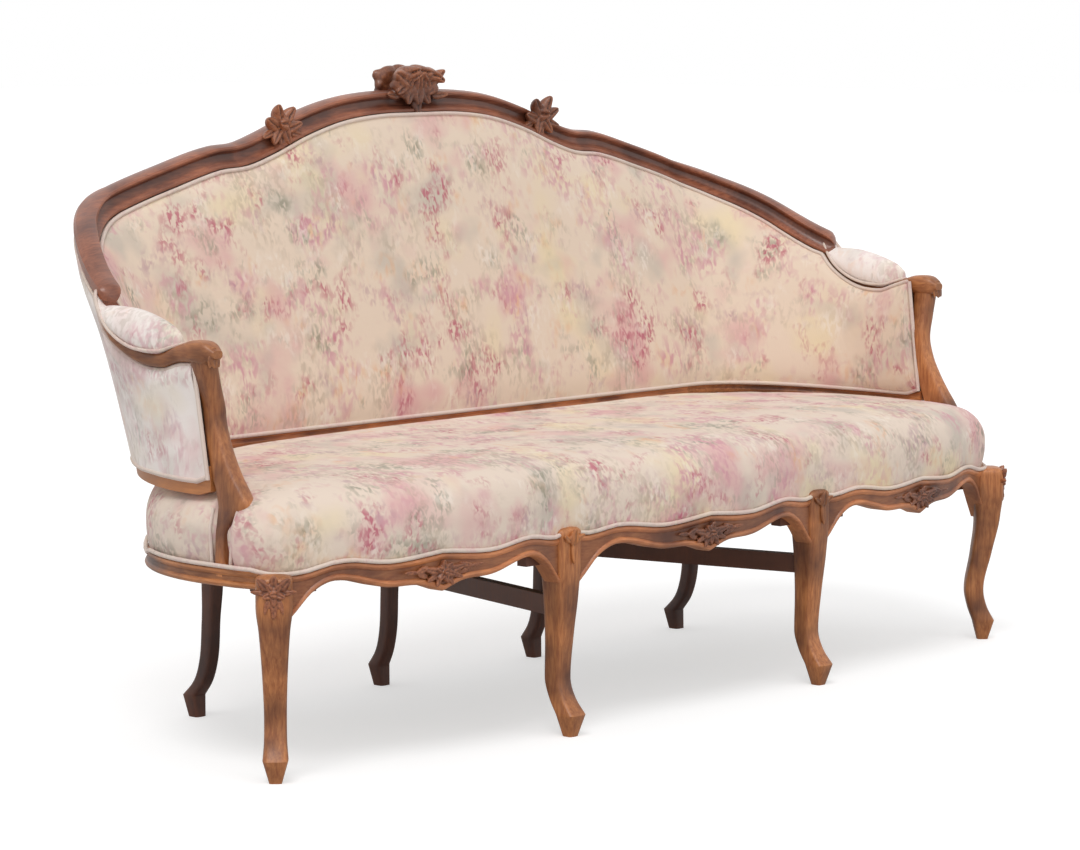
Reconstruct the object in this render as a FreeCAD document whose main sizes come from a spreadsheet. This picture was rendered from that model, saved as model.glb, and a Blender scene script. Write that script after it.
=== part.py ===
import FreeCAD, Part
import math
import os
from FreeCAD import Placement, Rotation, Vector

# A Louis XV style canape: a cabriole sofa with an arched, wrap-around upholstered back.
# Millimetres. X runs to the viewer's right, Y to the back and Z up from the floor.
# The frame is symmetric about X = 0, so the pieces with X > 0 are drawn and the others mirrored.

doc = FreeCAD.newDocument("cabriole_sofa")
sheet = doc.addObject("Spreadsheet::Sheet", "Sizes")

SIZES = [
    # Where the legs stand
    ("front_leg_x", 910, "front corner foot, from the middle"),
    ("front_leg_y", 262, "front corner foot, in front of the datum"),
    ("front_mid_x", 323, "front middle foot, from the middle"),
    ("front_mid_y", 340, "front middle foot, in front of the datum"),
    ("rear_leg_x", 615, "rear outer leg, from the middle"),
    ("rear_mid_x", 196, "rear middle leg, from the middle"),
    ("rear_post_y", 198, "rear legs at the seat, behind the datum"),
    # Legs
    ("toe_height", 36, "height of the toe's corner"),
    ("ankle_height", 95, "height of the thinnest place"),
    ("knee_height", 235, "height of the knee"),
    ("front_leg_height", 342, "top of the front legs"),
    ("front_foot", 20, "width of a front foot on the floor"),
    ("front_toe", 40, "width of a front toe"),
    ("front_ankle", 35, "width of a front ankle"),
    ("front_calf", 39, "width of a front leg half way up"),
    ("front_knee", 46, "width of a front knee"),
    ("front_block", 54, "width of a front leg at the rails"),
    ("knee_swing", 6, "corner knee, outside its foot"),
    ("ankle_swing", 17, "corner ankle, inside its foot"),
    ("mid_knee_swing", 21, "middle knee, behind its foot"),
    ("mid_ankle_swing", 28, "middle ankle, behind its foot"),
    ("rear_foot", 23, "width of a rear foot on the floor"),
    ("rear_toe", 31, "width of a rear heel knob"),
    ("rear_ankle", 26, "width of a rear ankle"),
    ("post", 30, "width of the back posts"),
    ("post_depth", 20, "back posts, front to back"),
    ("rear_kick", 40, "outer rear foot, behind its post"),
    ("rear_mid_kick", 22, "middle rear foot, behind its post"),
    # Seat frame
    ("front_reach", 365, "face of the middle front rail, in front of the datum"),
    ("rail_thickness", 32, "seat rails, front to back"),
    ("rail_ledge", 312, "height of the ledge that the webs are tacked to"),
    ("rail_lip", 12, "thickness of the show lip in front of the ledge"),
    ("front_rail_top", 325, "lowest places of the front rails' upper edge"),
    ("front_rail_wave", 10, "rise of the waves in that edge"),
    ("front_rail_bottom", 288, "mean height of the front rails' lower edge"),
    ("front_rail_arch", 18, "rise of the lower edge beside the legs"),
    ("apron_drop", 16, "carved drop in the middle of each front rail"),
    ("knee_ear", 36, "fall of the front rails into the knees"),
    ("side_rail_x", 935, "widest place of the side rails, from the middle"),
    ("side_rail_top", 326, "height of the side rails' upper edge"),
    ("side_rail_depth", 29, "side rails, top to bottom"),
    ("side_corner_x", 620, "where the side rails turn into the rear legs"),
    ("side_corner_y", -120, "where their turn ends at the sides"),
    ("rear_rail_y", 200, "outside of the side rails at the rear legs"),
    ("rear_rail_depth", 50, "rear rails, top to bottom"),
    ("rear_rail_thickness", 26, "rear rails, front to back"),
    ("stretcher_bottom", 195, "height of the cross stretchers' lower edge"),
    ("stretcher_depth", 32, "cross stretchers, top to bottom"),
    ("stretcher_thickness", 20, "cross stretchers, side to side"),
    # Back frame
    ("arch_height", 1029, "top rail's ridge in the middle of the back"),
    ("crest_height", 1076, "top of the carved crest"),
    ("crest_half_width", 62, "half the carved crest"),
    ("motif_x", 328, "small carved leaves, from the middle"),
    ("motif_rise", 22, "small carved leaves, above the ridge"),
    ("rail_joint_x", 430, "joint of the middle and outer top rails"),
    ("top_rail_y", 329, "ridge of the top rail, behind the datum"),
    ("top_rail_thickness", 36, "top rail, front to back"),
    ("top_rail_depth", 52, "top rail, top to bottom"),
    ("show_depth", 38, "moulded part of the top rail"),
    ("top_corner_x", 700, "where the top rail starts to turn forward"),
    ("top_corner_y", -6, "where its turn ends"),
    ("back_rake", 0.23, "slope of the back, run over rise"),
    ("top_arm_x", 915, "where the turn of the top rail would end, from the middle"),
    ("low_rail_y", 212, "face of the lower back rail, behind the datum"),
    ("low_rail_bottom", 447, "lower back rail's lower edge"),
    ("low_rail_depth", 40, "lower back rail, top to bottom"),
    ("low_rail_show", 18, "bare part of the lower back rail"),
    ("low_rail_thickness", 28, "lower back rail, front to back"),
    ("low_corner_x", 620, "where the lower rail starts to turn forward"),
    ("low_corner_y", -100, "where its turn ends"),
    ("low_rail_dip", 15, "fall of the lower rail along the sides"),
    ("low_arm_x", 888, "inner face of the wings at the lower rail, from the middle"),
    ("rebate", 8, "depth of the rebates that the covers are tacked in"),
    # Arms
    ("arm_x", 917, "middle of the arms, from the middle of the sofa"),
    ("arm_joint_y", 128, "where the arm meets the top rail, behind the datum"),
    ("arm_joint_height", 742, "top of the arm at that joint"),
    ("arm_front_y", 148, "front of the arm's knuckle, in front of the datum"),
    ("arm_top", 673, "top of the knuckle"),
    ("arm_dip", 652, "lowest place of the arm's top"),
    ("arm_depth", 26, "arm, top to bottom"),
    ("arm_width", 42, "arm, side to side"),
    ("support_width", 32, "arm support, side to side"),
    # Upholstery
    ("seat_crown", 460, "top of the seat"),
    ("cloth", 2.5, "covers, with their lining"),
    ("web_width", 50, "webs"),
    ("web_thickness", 1, "webs"),
    ("back_bulge", 20, "how far the back pad stands in front of its edges"),
    ("arm_pad_height", 44, "arm pads at their highest"),
    ("arm_pad_width", 64, "arm pads at their widest"),
    ("arm_pad_rear_y", 122, "rear end of the arm pads, behind the datum"),
    ("arm_pad_front_y", 66, "front end of the arm pads, in front of the datum"),
    # Joinery
    ("tenon_thickness", 10, "tenons"),
    ("tenon_length", 20, "tenons"),
    ("post_tenon", 14, "tenons into the back posts"),
    ("block_size", 60, "glue blocks, along each rail"),
]
for row, (alias, value, note) in enumerate(SIZES, start=1):
    sheet.set(f"A{row}", note)
    sheet.set(f"B{row}", str(value))
    sheet.setAlias(f"B{row}", alias)
doc.recompute()


def size(alias):
    return float(sheet.get(alias))


# Drawing aids

SIDE = Placement(Vector(), Rotation(Vector(1, 1, 1), 120))
PLAN = Placement()
BLANK = 4000


def sketch(name, placement, runs):
    """A closed outline of lines, each a run of two points."""
    outline = doc.addObject("Sketcher::SketchObject", name)
    outline.Placement = placement
    for run in runs:
        outline.addGeometry(Part.LineSegment(*[Vector(u, v, 0) for u, v in run]))
    return outline


def closed(corners):
    """The lines round an outline, from corner to corner."""
    return [[start, end] for start, end in zip(corners, corners[1:] + corners[:1])]


def extrude(name, outline, length, symmetric=False):
    """Length is a number, or an expression in the sheet's sizes."""
    solid = doc.addObject("Part::Extrusion", name)
    solid.Base = outline
    solid.DirMode = "Normal"
    solid.Solid = True
    solid.Symmetric = symmetric
    if isinstance(length, str):
        solid.setExpression("LengthFwd", length)
    else:
        solid.LengthFwd = length
    return solid


def box(name, sides, placement):
    """Sides are numbers or expressions; the box is centred on its placement."""
    solid = doc.addObject("Part::Box", name)
    for side, value in zip(("Length", "Width", "Height"), sides):
        if isinstance(value, str):
            solid.setExpression(side, value)
        else:
            setattr(solid, side, value)
    doc.recompute([solid])
    middle = Vector(-solid.Length.Value / 2, -solid.Width.Value / 2, -solid.Height.Value / 2)
    solid.Placement = placement * Placement(middle, Rotation())
    return solid


def fuse(name, shapes):
    result = doc.addObject("Part::MultiFuse", name)
    result.Shapes = shapes
    return result


def common(name, shapes):
    result = doc.addObject("Part::MultiCommon", name)
    result.Shapes = shapes
    return result


def cut(name, base, tools):
    result = doc.addObject("Part::Cut", name)
    result.Base = base
    result.Tool = tools[0] if len(tools) == 1 else fuse(name + "_tools", tools)
    return result


def mirror(name, source):
    result = doc.addObject("Part::Mirroring", name)
    result.Source = source
    result.Normal = Vector(1, 0, 0)
    return result


def compound(name, links):
    result = doc.addObject("Part::Compound", name)
    result.Links = links
    return result


def freeform(name, shape):
    """A piece curved in every direction, which no sketch and extrusion can give."""
    result = doc.addObject("Part::Feature", name)
    result.Shape = shape
    return result


FLATNESS = 1e-8


def flat(points):
    return Part.Face(Part.makePolygon(points + points[:1]))


def facets(stations):
    """A solid with flat facets between rings of points: each ring has as many points as the next."""
    faces = [flat(stations[0]), flat(stations[-1])]
    for ring, following in zip(stations, stations[1:]):
        for index, corner in enumerate(ring):
            beside = ring[index - 1]
            across = following[index - 1]
            above = following[index]
            normal = (beside - corner).cross(above - corner)
            if abs((across - corner).dot(normal)) < FLATNESS * normal.Length:
                faces.append(flat([corner, beside, across, above]))
            else:
                faces += [flat([corner, beside, across]), flat([corner, across, above])]
    shell = Part.Shell(faces)
    shell.sewShape()
    solid = Part.Solid(shell)
    return solid if solid.Volume > 0 else solid.reversed()


def mix(low, high, share):
    return low + (high - low) * share


def smooth(table, value):
    """Reads a table of (value, result) pairs along a smooth curve through them."""
    if value <= table[0][0]:
        return table[0][1]
    if value >= table[-1][0]:
        return table[-1][1]
    slopes = [(b[1] - a[1]) / (b[0] - a[0]) for a, b in zip(table, table[1:])]
    tangents = [slopes[0]]
    for before, after in zip(slopes, slopes[1:]):
        tangents.append((before + after) / 2 if before * after > 0 else 0)
    tangents.append(slopes[-1])
    index = next(place for place, (high, _) in enumerate(table[1:]) if value <= high)
    (low, first), (high, second) = table[index:index + 2]
    span = high - low
    share = (value - low) / span
    rise = mix(first, second, share * share * (3 - 2 * share))
    lead = tangents[index] * span * share * (1 - share) ** 2
    trail = tangents[index + 1] * span * share * share * (share - 1)
    return rise + lead + trail


PIECES = {}


def piece(node, solid):
    solid.Label = node
    PIECES[node] = solid
    return solid


def pair(node, solid):
    """A piece of the right half and its mirror image."""
    piece(node + "_right", solid)
    piece(node + "_left", mirror(node + "_mirrored", solid))


# Legs: octagonal sections, a square with its arrises taken off, carved up the cabriole curve

ARRIS = 0.2
LEG_STEPS = 13


def leg_ring(height, swing, width):
    half = width / 2
    inner = half - width * ARRIS
    corners = [(half, -inner), (half, inner), (inner, half), (-inner, half),
               (-half, inner), (-half, -inner), (-inner, -half), (inner, -half)]
    return [Vector(swing + u, v, height) for u, v in corners]


def carved_leg(name, stations, angle):
    """Stations are (height, swing, width) from the floor up. The first two make the toe's taper."""
    swings = [(height, swing) for height, swing, _ in stations[1:]]
    widths = [(height, width) for height, _, width in stations[1:]]
    rings = [leg_ring(*stations[0])]
    for step in range(LEG_STEPS + 1):
        height = mix(stations[1][0], stations[-1][0], step / LEG_STEPS)
        rings.append(leg_ring(height, smooth(swings, height), smooth(widths, height)))
    leg = freeform(name, facets(rings))
    leg.Placement = Placement(Vector(), Rotation(Vector(0, 0, 1), angle))
    return leg


def leg_stations(widths, swings, top):
    """Widths and swings are those of the foot, toe, ankle, calf and knee; the top is (height, width)."""
    toe = size("toe_height")
    ankle = size("ankle_height")
    knee = size("knee_height")
    height, block = top
    instep = (mix(toe, ankle, 0.4), mix(swings[1], swings[2], 0.6), mix(widths[1], widths[2], 0.8))
    return [
        (0, swings[0], widths[0]),
        (toe, swings[1], widths[1]),
        instep,
        (ankle, swings[2], widths[2]),
        (mix(ankle, knee, 0.5), swings[3], widths[3]),
        (knee, swings[4], widths[4]),
        (mix(knee, height, 0.5), swings[4], block),
        (height, swings[4], block),
    ]


def front_stations(knee_swing, ankle_swing):
    widths = [size(f"front_{place}") for place in ("foot", "toe", "ankle", "calf", "knee")]
    swings = (0, 1, -ankle_swing, mix(-ankle_swing, knee_swing, 0.55), knee_swing)
    return leg_stations(widths, swings, (size("front_leg_height"), size("front_block")))


def rear_stations(kick):
    widths = (size("rear_foot"), size("rear_toe"), size("rear_ankle"), size("rear_ankle"), size("post"))
    swings = (kick, kick + 7, kick * 0.28, kick * 0.1, 0)
    return leg_stations(widths, swings, (size("rail_ledge"), size("post")))


def stand(leg, x_name, y_expression):
    leg.setExpression("Placement.Base.x", f"Sizes.{x_name}")
    leg.setExpression("Placement.Base.y", y_expression)
    return leg


corner_leg = carved_leg("corner_leg", front_stations(size("knee_swing"), size("ankle_swing")), -45)
stand(corner_leg, "front_leg_x", "-Sizes.front_leg_y")
mid_leg = carved_leg("mid_leg", front_stations(-size("mid_knee_swing"), size("mid_ankle_swing")), -90)
stand(mid_leg, "front_mid_x", "-Sizes.front_mid_y")
mid_block_y = -size("front_mid_y") + size("mid_knee_swing")


# The back's curves

# Ridge of the top rail: share of the half width, share of the rise over the arm joint
RIDGE = [(0, 1), (0.11, 0.995), (0.21, 0.96), (0.31, 0.878), (0.4, 0.774), (0.46, 0.718), (0.525, 0.7),
         (0.645, 0.606), (0.765, 0.495), (0.847, 0.394), (0.923, 0.233), (0.98, 0)]


def ridge_height(x):
    return mix(size("arm_joint_height"), size("arch_height"), smooth(RIDGE, abs(x) / size("top_arm_x")))


def turn_point(level, turn):
    """Plan of the back at an angle of its turn: a quarter of an ellipse from the back to the side."""
    corner_x = size(f"{level}_corner_x")
    corner_y = size(f"{level}_corner_y")
    reach_x = size(f"{level}_arm_x") - corner_x
    reach_y = size(f"{level}_rail_y") - corner_y
    angle = math.radians(turn)
    point = Vector(corner_x + reach_x * math.sin(angle), corner_y + reach_y * math.cos(angle), 0)
    heading = math.degrees(math.atan2(reach_y * math.sin(angle), reach_x * math.cos(angle)))
    return point, heading


def outward(heading):
    angle = math.radians(heading)
    return Vector(math.sin(angle), math.cos(angle), 0)


def rake(heading):
    """The back slopes only where it faces the front."""
    return size("back_rake") * max(math.cos(math.radians(heading)), 0)


def set_off(point, heading, out, up):
    """A point set off from the ridge: outwards and upwards, with the back's slope."""
    return point + outward(heading) * (out + rake(heading) * up) + Vector(0, 0, up)


STRAIGHT_STEPS = 9
TURN_STEPS = (12, 24, 36, 48, 60, 72)


def top_stations(start, end):
    """Ridge points, headings and turns from X = start to X = end: in plan a line, and then the turn."""
    corner_x = size("top_corner_x")
    step = corner_x / STRAIGHT_STEPS
    places = [start] + [step * index for index in range(-STRAIGHT_STEPS, STRAIGHT_STEPS + 1)
                        if start + step * 0.3 < step * index < min(end, corner_x + 1) - step * 0.3]
    if end <= corner_x:
        places.append(end)
    stations = [(Vector(x, size("top_rail_y"), ridge_height(x)), 0, 0) for x in places]
    if end > corner_x:
        if places[-1] < corner_x:
            stations.append((Vector(corner_x, size("top_rail_y"), ridge_height(corner_x)), 0, 0))
        for turn in TURN_STEPS:
            point, heading = turn_point("top", turn)
            point.z = ridge_height(point.x)
            stations.append((point, heading, turn))
    return stations


def stretches(stations):
    """How much taller a section square to the slope is, cut upright, at each station."""
    results = []
    for index in range(len(stations)):
        before = stations[max(index - 1, 0)][0]
        after = stations[min(index + 1, len(stations) - 1)][0]
        run = math.hypot(after.x - before.x, after.y - before.y)
        results.append(math.hypot(1, (after.z - before.z) / run))
    return results


# Top rail: a moulding swept along the ridge

def rail_section():
    thick = size("top_rail_thickness")
    deep = size("top_rail_depth")
    show = size("show_depth")
    rebate = size("rebate")
    return [
        (2, 0), (thick, 0), (thick, -show / 2), (thick - rebate / 2, -show / 2),
        (thick - rebate / 2, -deep), (rebate, -deep), (rebate, -show), (1, -show),
        (1, -show + 7), (rebate - 1, -show / 2), (0, -8),
    ]


def moulded(stations):
    return facets([[set_off(point, heading, out, up * stretch) for out, up in rail_section()]
                   for (point, heading, _), stretch in zip(stations, stretches(stations))])


joint_x = size("rail_joint_x")
ridge_y = size("top_rail_y")
rail_thick = size("top_rail_thickness")
middle_rail = freeform("middle_rail", moulded(top_stations(-joint_x, joint_x)))
outer_rail = freeform("outer_rail", moulded(top_stations(joint_x, size("top_arm_x"))))
arm_joint = size("arm_joint_y")
behind_arm = box("behind_arm_joint", (BLANK, BLANK, BLANK),
                 Placement(Vector(0, arm_joint + BLANK / 2, 0), Rotation()))
outer_rail = common("outer_rail_cut_off", [outer_rail, behind_arm])

# Carved crest and leaves, standing on the top rail

CREST = ((-1, -0.25), (-1, 0.4), (-0.85, 0.75), (-0.5, 0.95), (0, 1), (0.5, 0.98), (0.9, 0.8), (1.05, 0.45),
         (1, -0.1), (0.8, -0.65), (0, -0.9), (-0.8, -0.65))
LEAF = ((-1, -0.2), (-0.9, 0.5), (-0.4, 1), (0.2, 0.95), (0.75, 0.5), (0.85, -0.5), (0.2, -1.4), (-0.6, -0.9))


def carved_boss(name, outline, middle, half, rise, front):
    """A boss carved in relief: its outline, and the same drawn in a little at its face."""
    levels = ((rail_thick, 1), (8 - front, 1), (-front, 0.78))
    return freeform(name, facets([[middle + Vector(half * u * share, depth, rise * (0.1 + (v - 0.1) * share))
                                   for u, v in outline] for depth, share in levels]))


crest = carved_boss("crest", CREST, Vector(0, ridge_y, size("arch_height")), size("crest_half_width"),
                    size("crest_height") - size("arch_height"), 7)
motif_x = size("motif_x")
motif = carved_boss("motif", LEAF, Vector(motif_x, ridge_y, ridge_height(motif_x)), 25, size("motif_rise"), 5)
carved_rail = fuse("carved_rail", [middle_rail, crest, motif, mirror("motif_mirrored", motif)])

doc.recompute()

# Back posts: each rear leg runs on up to the top rail in one piece

ledge = size("rail_ledge")
post_y = size("rear_post_y")
post_depth = size("post_depth")
bend_y = size("low_rail_y") + size("low_rail_thickness") / 2 + 4
bend_z = size("low_rail_bottom") + size("low_rail_depth") / 2
rails_over = {"outer": outer_rail, "middle": carved_rail}
rear_legs = {}
post_tenons = {}
for key, x_name, kick_name in (("outer", "rear_leg_x", "rear_kick"), ("middle", "rear_mid_x", "rear_mid_kick")):
    x = size(x_name)
    leg = carved_leg(f"rear_{key}_leg", rear_stations(size(kick_name)), 90)
    stand(leg, x_name, "Sizes.rear_post_y")
    under = ridge_height(x) - size("top_rail_depth")
    head_y = ridge_y + (rail_thick + size("rebate") - 3) / 2 - size("back_rake") * size("top_rail_depth")
    spine = [(post_y, ledge - 30), (post_y, ledge), (bend_y, bend_z)]
    into_rail = 5
    spine.append((mix(bend_y, head_y, (under + into_rail - bend_z) / (under - bend_z)), under + into_rail))
    front = [(y - post_depth / 2, z) for y, z in spine]
    rear = [(y + post_depth / 2, z) for y, z in spine[::-1]]
    edge = front + rear
    outline = sketch(f"{key}_post_outline", SIDE, closed(edge))
    post = extrude(f"{key}_post", outline, "Sizes.post", True)
    post.setExpression("Placement.Base.x", f"Sizes.{x_name}")
    scribed = cut(f"{key}_post_scribed", post, [rails_over[key]])
    tenon = box(f"{key}_post_tenon", ("Sizes.post * 0.6", "Sizes.tenon_thickness", "Sizes.tenon_length * 2"),
                Placement(Vector(x, head_y + 2, under), Rotation()))
    post_tenons[key] = tenon
    rear_legs[key] = fuse(f"rear_{key}_leg_and_post", [leg, scribed, tenon])

carved_rail = cut("carved_rail_mortised", carved_rail,
                  [post_tenons["middle"], mirror("middle_post_tenon_mirrored", post_tenons["middle"])])
outer_rail = cut("outer_rail_mortised", outer_rail, [post_tenons["outer"]])

# Seat frame

rail = size("rail_thickness")
lip = size("rail_lip")


def bow_y(bow, x):
    """Y at x of the arc through three points."""
    circle = Part.Arc(*[Vector(u, v, 0) for u, v in bow]).toShape().Curve
    return circle.Center.y - math.sqrt(circle.Radius ** 2 - (x - circle.Center.x) ** 2)


def ledged_ring(face, inward, top, bottom):
    """Section of a seat rail: a show lip in front of the ledge that the webs lie on."""
    return [face + inward * deep + Vector(0, 0, height) for deep, height in (
        (0, bottom + 5), (0, top), (lip, top), (lip, ledge), (rail, ledge), (rail, bottom), (4, bottom))]


BAY_STEPS = 24


def front_rail(name, bow):
    """A bowed rail with wavy edges, symmetric about the middle of its bay."""
    start = bow[0][0]
    end = bow[-1][0]
    top = size("front_rail_top")
    wave = size("front_rail_wave")
    bottom = size("front_rail_bottom")
    arch_up = size("front_rail_arch")
    upper = [(0, top + wave), (0.06, top + 2), (0.17, top + wave), (0.33, top), (0.5, top + 0.8 * wave)]
    lower = [(0, bottom - size("knee_ear")), (0.09, bottom), (0.17, bottom + arch_up), (0.32, bottom),
             (0.43, bottom - 3), (0.5, bottom - size("apron_drop"))]
    rings = []
    for step in range(BAY_STEPS + 1):
        x = mix(start, end, step / BAY_STEPS)
        from_leg = min(step, BAY_STEPS - step) / BAY_STEPS
        rings.append(ledged_ring(Vector(x, bow_y(bow, x), 0), Vector(0, 1, 0), smooth(upper, from_leg),
                                 smooth(lower, from_leg)))
    return freeform(name, facets(rings))


mid_x = size("front_mid_x")
corner_x = size("front_leg_x")
rail_mid_z = (size("front_rail_bottom") + size("rail_ledge")) / 2
tenon_up = "Sizes.rail_ledge - Sizes.front_rail_bottom - 4"
block = size("front_block")


def rail_tenon(name, place, angle, height=tenon_up, length="tenon_length"):
    """A tenon centred on its shoulder: half of it stays in the rail."""
    return box(name, (f"2 * Sizes.{length}", "Sizes.tenon_thickness", height),
               Placement(place, Rotation(Vector(0, 0, 1), angle)))


# Front rails, each scribed to its legs and tenoned into them
shoulder = block / 2
centre_tenon = rail_tenon("centre_tenon", Vector(mid_x - shoulder, mid_block_y, rail_mid_z), 0)
centre_tenon_mirrored = mirror("centre_tenon_mirrored", centre_tenon)
inner_tenon = rail_tenon("inner_tenon", Vector(mid_x + shoulder, mid_block_y, rail_mid_z), 0)
corner_face = corner_x - shoulder - 4
mid_face_y = mid_block_y - rail / 2
corner_face_y = -size("front_leg_y") - 3
centre_bow = [(-mid_x, mid_face_y), (0, -size("front_reach")), (mid_x, mid_face_y)]
bay_bow = [(mid_x, mid_face_y), (mix(mid_x, corner_x, 0.5), mid_face_y - 4), (corner_x, corner_face_y)]
corner_tenon = rail_tenon("corner_tenon", Vector(corner_face, corner_face_y + rail * 0.45, rail_mid_z), 0)
mid_leg_mirrored = mirror("mid_leg_mirrored", mid_leg)
centre_blank = front_rail("centre_rail", centre_bow)
centre_rail = fuse("centre_rail_tenoned", [cut("centre_rail_scribed", centre_blank, [mid_leg, mid_leg_mirrored]),
                                           centre_tenon, centre_tenon_mirrored])
bay_blank = front_rail("bay_rail", bay_bow)

# Side rails: an ellipse in plan from the front corner leg round to the outer rear leg
side_x = size("side_rail_x")
rear_x = size("rear_leg_x")
side_corner_x = size("side_corner_x")
side_corner_y = size("side_corner_y")


SIDE_TURNS = (90, 78, 66, 54, 42, 30, 18, 6, 0)


def side_rail_rings():
    """From the front corner leg round to the outer rear leg."""
    reach_x = side_x - side_corner_x
    reach_y = size("rear_rail_y") - side_corner_y
    top = size("side_rail_top")
    stations = [(Vector(corner_x + 9, -size("front_leg_y") + rail / 2 + 2, 0), 90),
                (Vector(side_x - 4, mix(-size("front_leg_y"), side_corner_y, 0.5), 0), 90)]
    for turn in SIDE_TURNS:
        angle = math.radians(turn)
        stations.append((Vector(side_corner_x + reach_x * math.sin(angle), side_corner_y + reach_y * math.cos(angle), 0),
                         math.degrees(math.atan2(reach_y * math.sin(angle), reach_x * math.cos(angle)))))
    return [ledged_ring(point, -outward(heading), top, side_bottom) for point, heading in stations]


side_bottom = size("side_rail_top") - size("side_rail_depth")
side_outer = freeform("side_rail_bowed", facets(side_rail_rings()))
side_tenon_z = (side_bottom + ledge) / 2
tenon_low = "Sizes.rail_ledge - Sizes.side_rail_top + Sizes.side_rail_depth - 2"
side_front_tenon = rail_tenon("side_front_tenon", Vector(
    corner_x + 10 - rail / 2, -size("front_leg_y") + shoulder + 6, side_tenon_z), 90, tenon_low)
side_rear_tenon = rail_tenon("side_rear_tenon", Vector(
    rear_x + size("post") / 2, size("rear_rail_y") - rail / 2, side_tenon_z), 0, tenon_low, "post_tenon")
bay_rail = fuse("bay_rail_tenoned", [cut("bay_rail_scribed", bay_blank, [mid_leg, corner_leg, side_outer]),
                                     inner_tenon, corner_tenon])
side_scribed = cut("side_rail_scribed", side_outer, [corner_leg, rear_legs["outer"]])
side_rail = fuse("side_rail_tenoned", [side_scribed, side_front_tenon, side_rear_tenon])

# Rear rails, plain and straight between the rear legs
rear_mid_x = size("rear_mid_x")
post = size("post")
rear_depth = size("rear_rail_depth")
rear_z = ledge - rear_depth / 2


def straight_rail(name, start, end, y, z, thickness, depth, tenon):
    """A rail between two posts, with a tenon at each end that it shares with the posts."""
    bar = box(f"{name}_bar", (end - start, thickness, depth), Placement(Vector((start + end) / 2, y, z), Rotation()))
    tenons = [rail_tenon(f"{name}_tenon_{index}", Vector(x, y, z), 0, tenon, "post_tenon")
              for index, x in enumerate((start, end))]
    return fuse(f"{name}_tenoned", [bar] + tenons), tenons


rear_bay, rear_bay_tenons = straight_rail("rear_bay", rear_mid_x + post / 2, rear_x - post / 2, post_y, rear_z,
                                          "Sizes.rear_rail_thickness", "Sizes.rear_rail_depth",
                                          "Sizes.rear_rail_depth - 16")
rear_centre, rear_centre_tenons = straight_rail("rear_centre", post / 2 - rear_mid_x, rear_mid_x - post / 2, post_y,
                                                rear_z, "Sizes.rear_rail_thickness", "Sizes.rear_rail_depth",
                                                "Sizes.rear_rail_depth - 16")

# Cross stretchers from the middle front legs to the middle rear legs
stretch_z = size("stretcher_bottom") + size("stretcher_depth") / 2
front_end = Vector(mid_x, mid_block_y, stretch_z)
rear_end = Vector(rear_mid_x, post_y, stretch_z)
run = rear_end - front_end
stretch_place = Placement((front_end + rear_end) / 2, Rotation(Vector(0, 0, 1), math.degrees(math.atan2(run.y, run.x))))
stretch_bar = box("stretcher_bar", (run.Length, "Sizes.stretcher_thickness", "Sizes.stretcher_depth"), stretch_place)
stretch_tenon = box("stretcher_tenon", (run.Length - 8, "Sizes.tenon_thickness", "Sizes.stretcher_depth - 10"),
                    stretch_place)
stretcher = fuse("stretcher_tenoned", [cut("stretcher_scribed", stretch_bar, [mid_leg, rear_legs["middle"]]),
                                       stretch_tenon])

# Lower back rail: straight lengths between the posts, and wings that turn forward to the arm supports
low_y = size("low_rail_y")
low_z = size("low_rail_bottom")
low_deep = size("low_rail_depth")
low_thick = size("low_rail_thickness")
low_show = size("low_rail_show")
rebate = size("rebate")


def low_section():
    """Front to back and up: bare below, with a rebate above for the cover."""
    rise = size("back_rake") * low_deep
    return [(0, low_z), (0, low_z + low_show), (rebate, low_z + low_show), (rebate + rise, low_z + low_deep),
            (low_thick + rise, low_z + low_deep), (low_thick, low_z)]


def low_length(name, start, end):
    profile = [(low_y + out, up) for out, up in low_section()]
    outline = sketch(f"{name}_section", SIDE, closed(profile))
    outline.Placement = Placement(Vector(start, 0, 0), Rotation()) * SIDE
    return extrude(f"{name}_moulding", outline, end - start)


low_mid_z = low_z + low_deep / 2
tenon_slim = "Sizes.low_rail_depth - 12"
low_tenons = {}
for key, x in (("mid_in", rear_mid_x - post / 2), ("mid_out", rear_mid_x + post / 2),
               ("outer_in", rear_x - post / 2), ("outer_out", rear_x + post / 2)):
    low_tenons[key] = rail_tenon(f"low_tenon_{key}", Vector(x, bend_y, low_mid_z), 0, tenon_slim, "post_tenon")
low_centre = fuse("low_centre_tenoned", [
    cut("low_centre_scribed", low_length("low_centre", -rear_mid_x, rear_mid_x),
        [rear_legs["middle"], mirror("rear_middle_mirrored", rear_legs["middle"])]),
    low_tenons["mid_in"], mirror("mid_in_mirrored", low_tenons["mid_in"])])
low_bay = fuse("low_bay_tenoned", [
    cut("low_bay_scribed", low_length("low_bay", rear_mid_x, rear_x), [rear_legs["middle"], rear_legs["outer"]]),
    low_tenons["mid_out"], low_tenons["outer_in"]])

# Arms, dished along their top, each with a rolled knuckle at the front
arm_x = size("arm_x")
arm_front = -size("arm_front_y")
arm_top = size("arm_top")
arm_dip = size("arm_dip")
arm_deep = size("arm_depth")
arm_wide = size("arm_width")
joint_height = size("arm_joint_height")

ARM_SHARES = (0, 0.08, 0.17, 0.27, 0.38, 0.5, 0.62, 0.72, 0.8, 0.87, 0.93, 0.97, 1)
ARM_SECTION = ((-0.4, 0), (0.4, 0), (0.5, 0.3), (0.5, 0.65), (0.3, 1), (-0.3, 1), (-0.5, 0.65), (-0.5, 0.3))


def along_arm(share):
    """Y from the joint with the top rail (0) to the front of the knuckle (1)."""
    return mix(arm_joint, arm_front, share)


def arm_share(y):
    return (arm_joint - y) / (arm_joint - arm_front)


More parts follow.
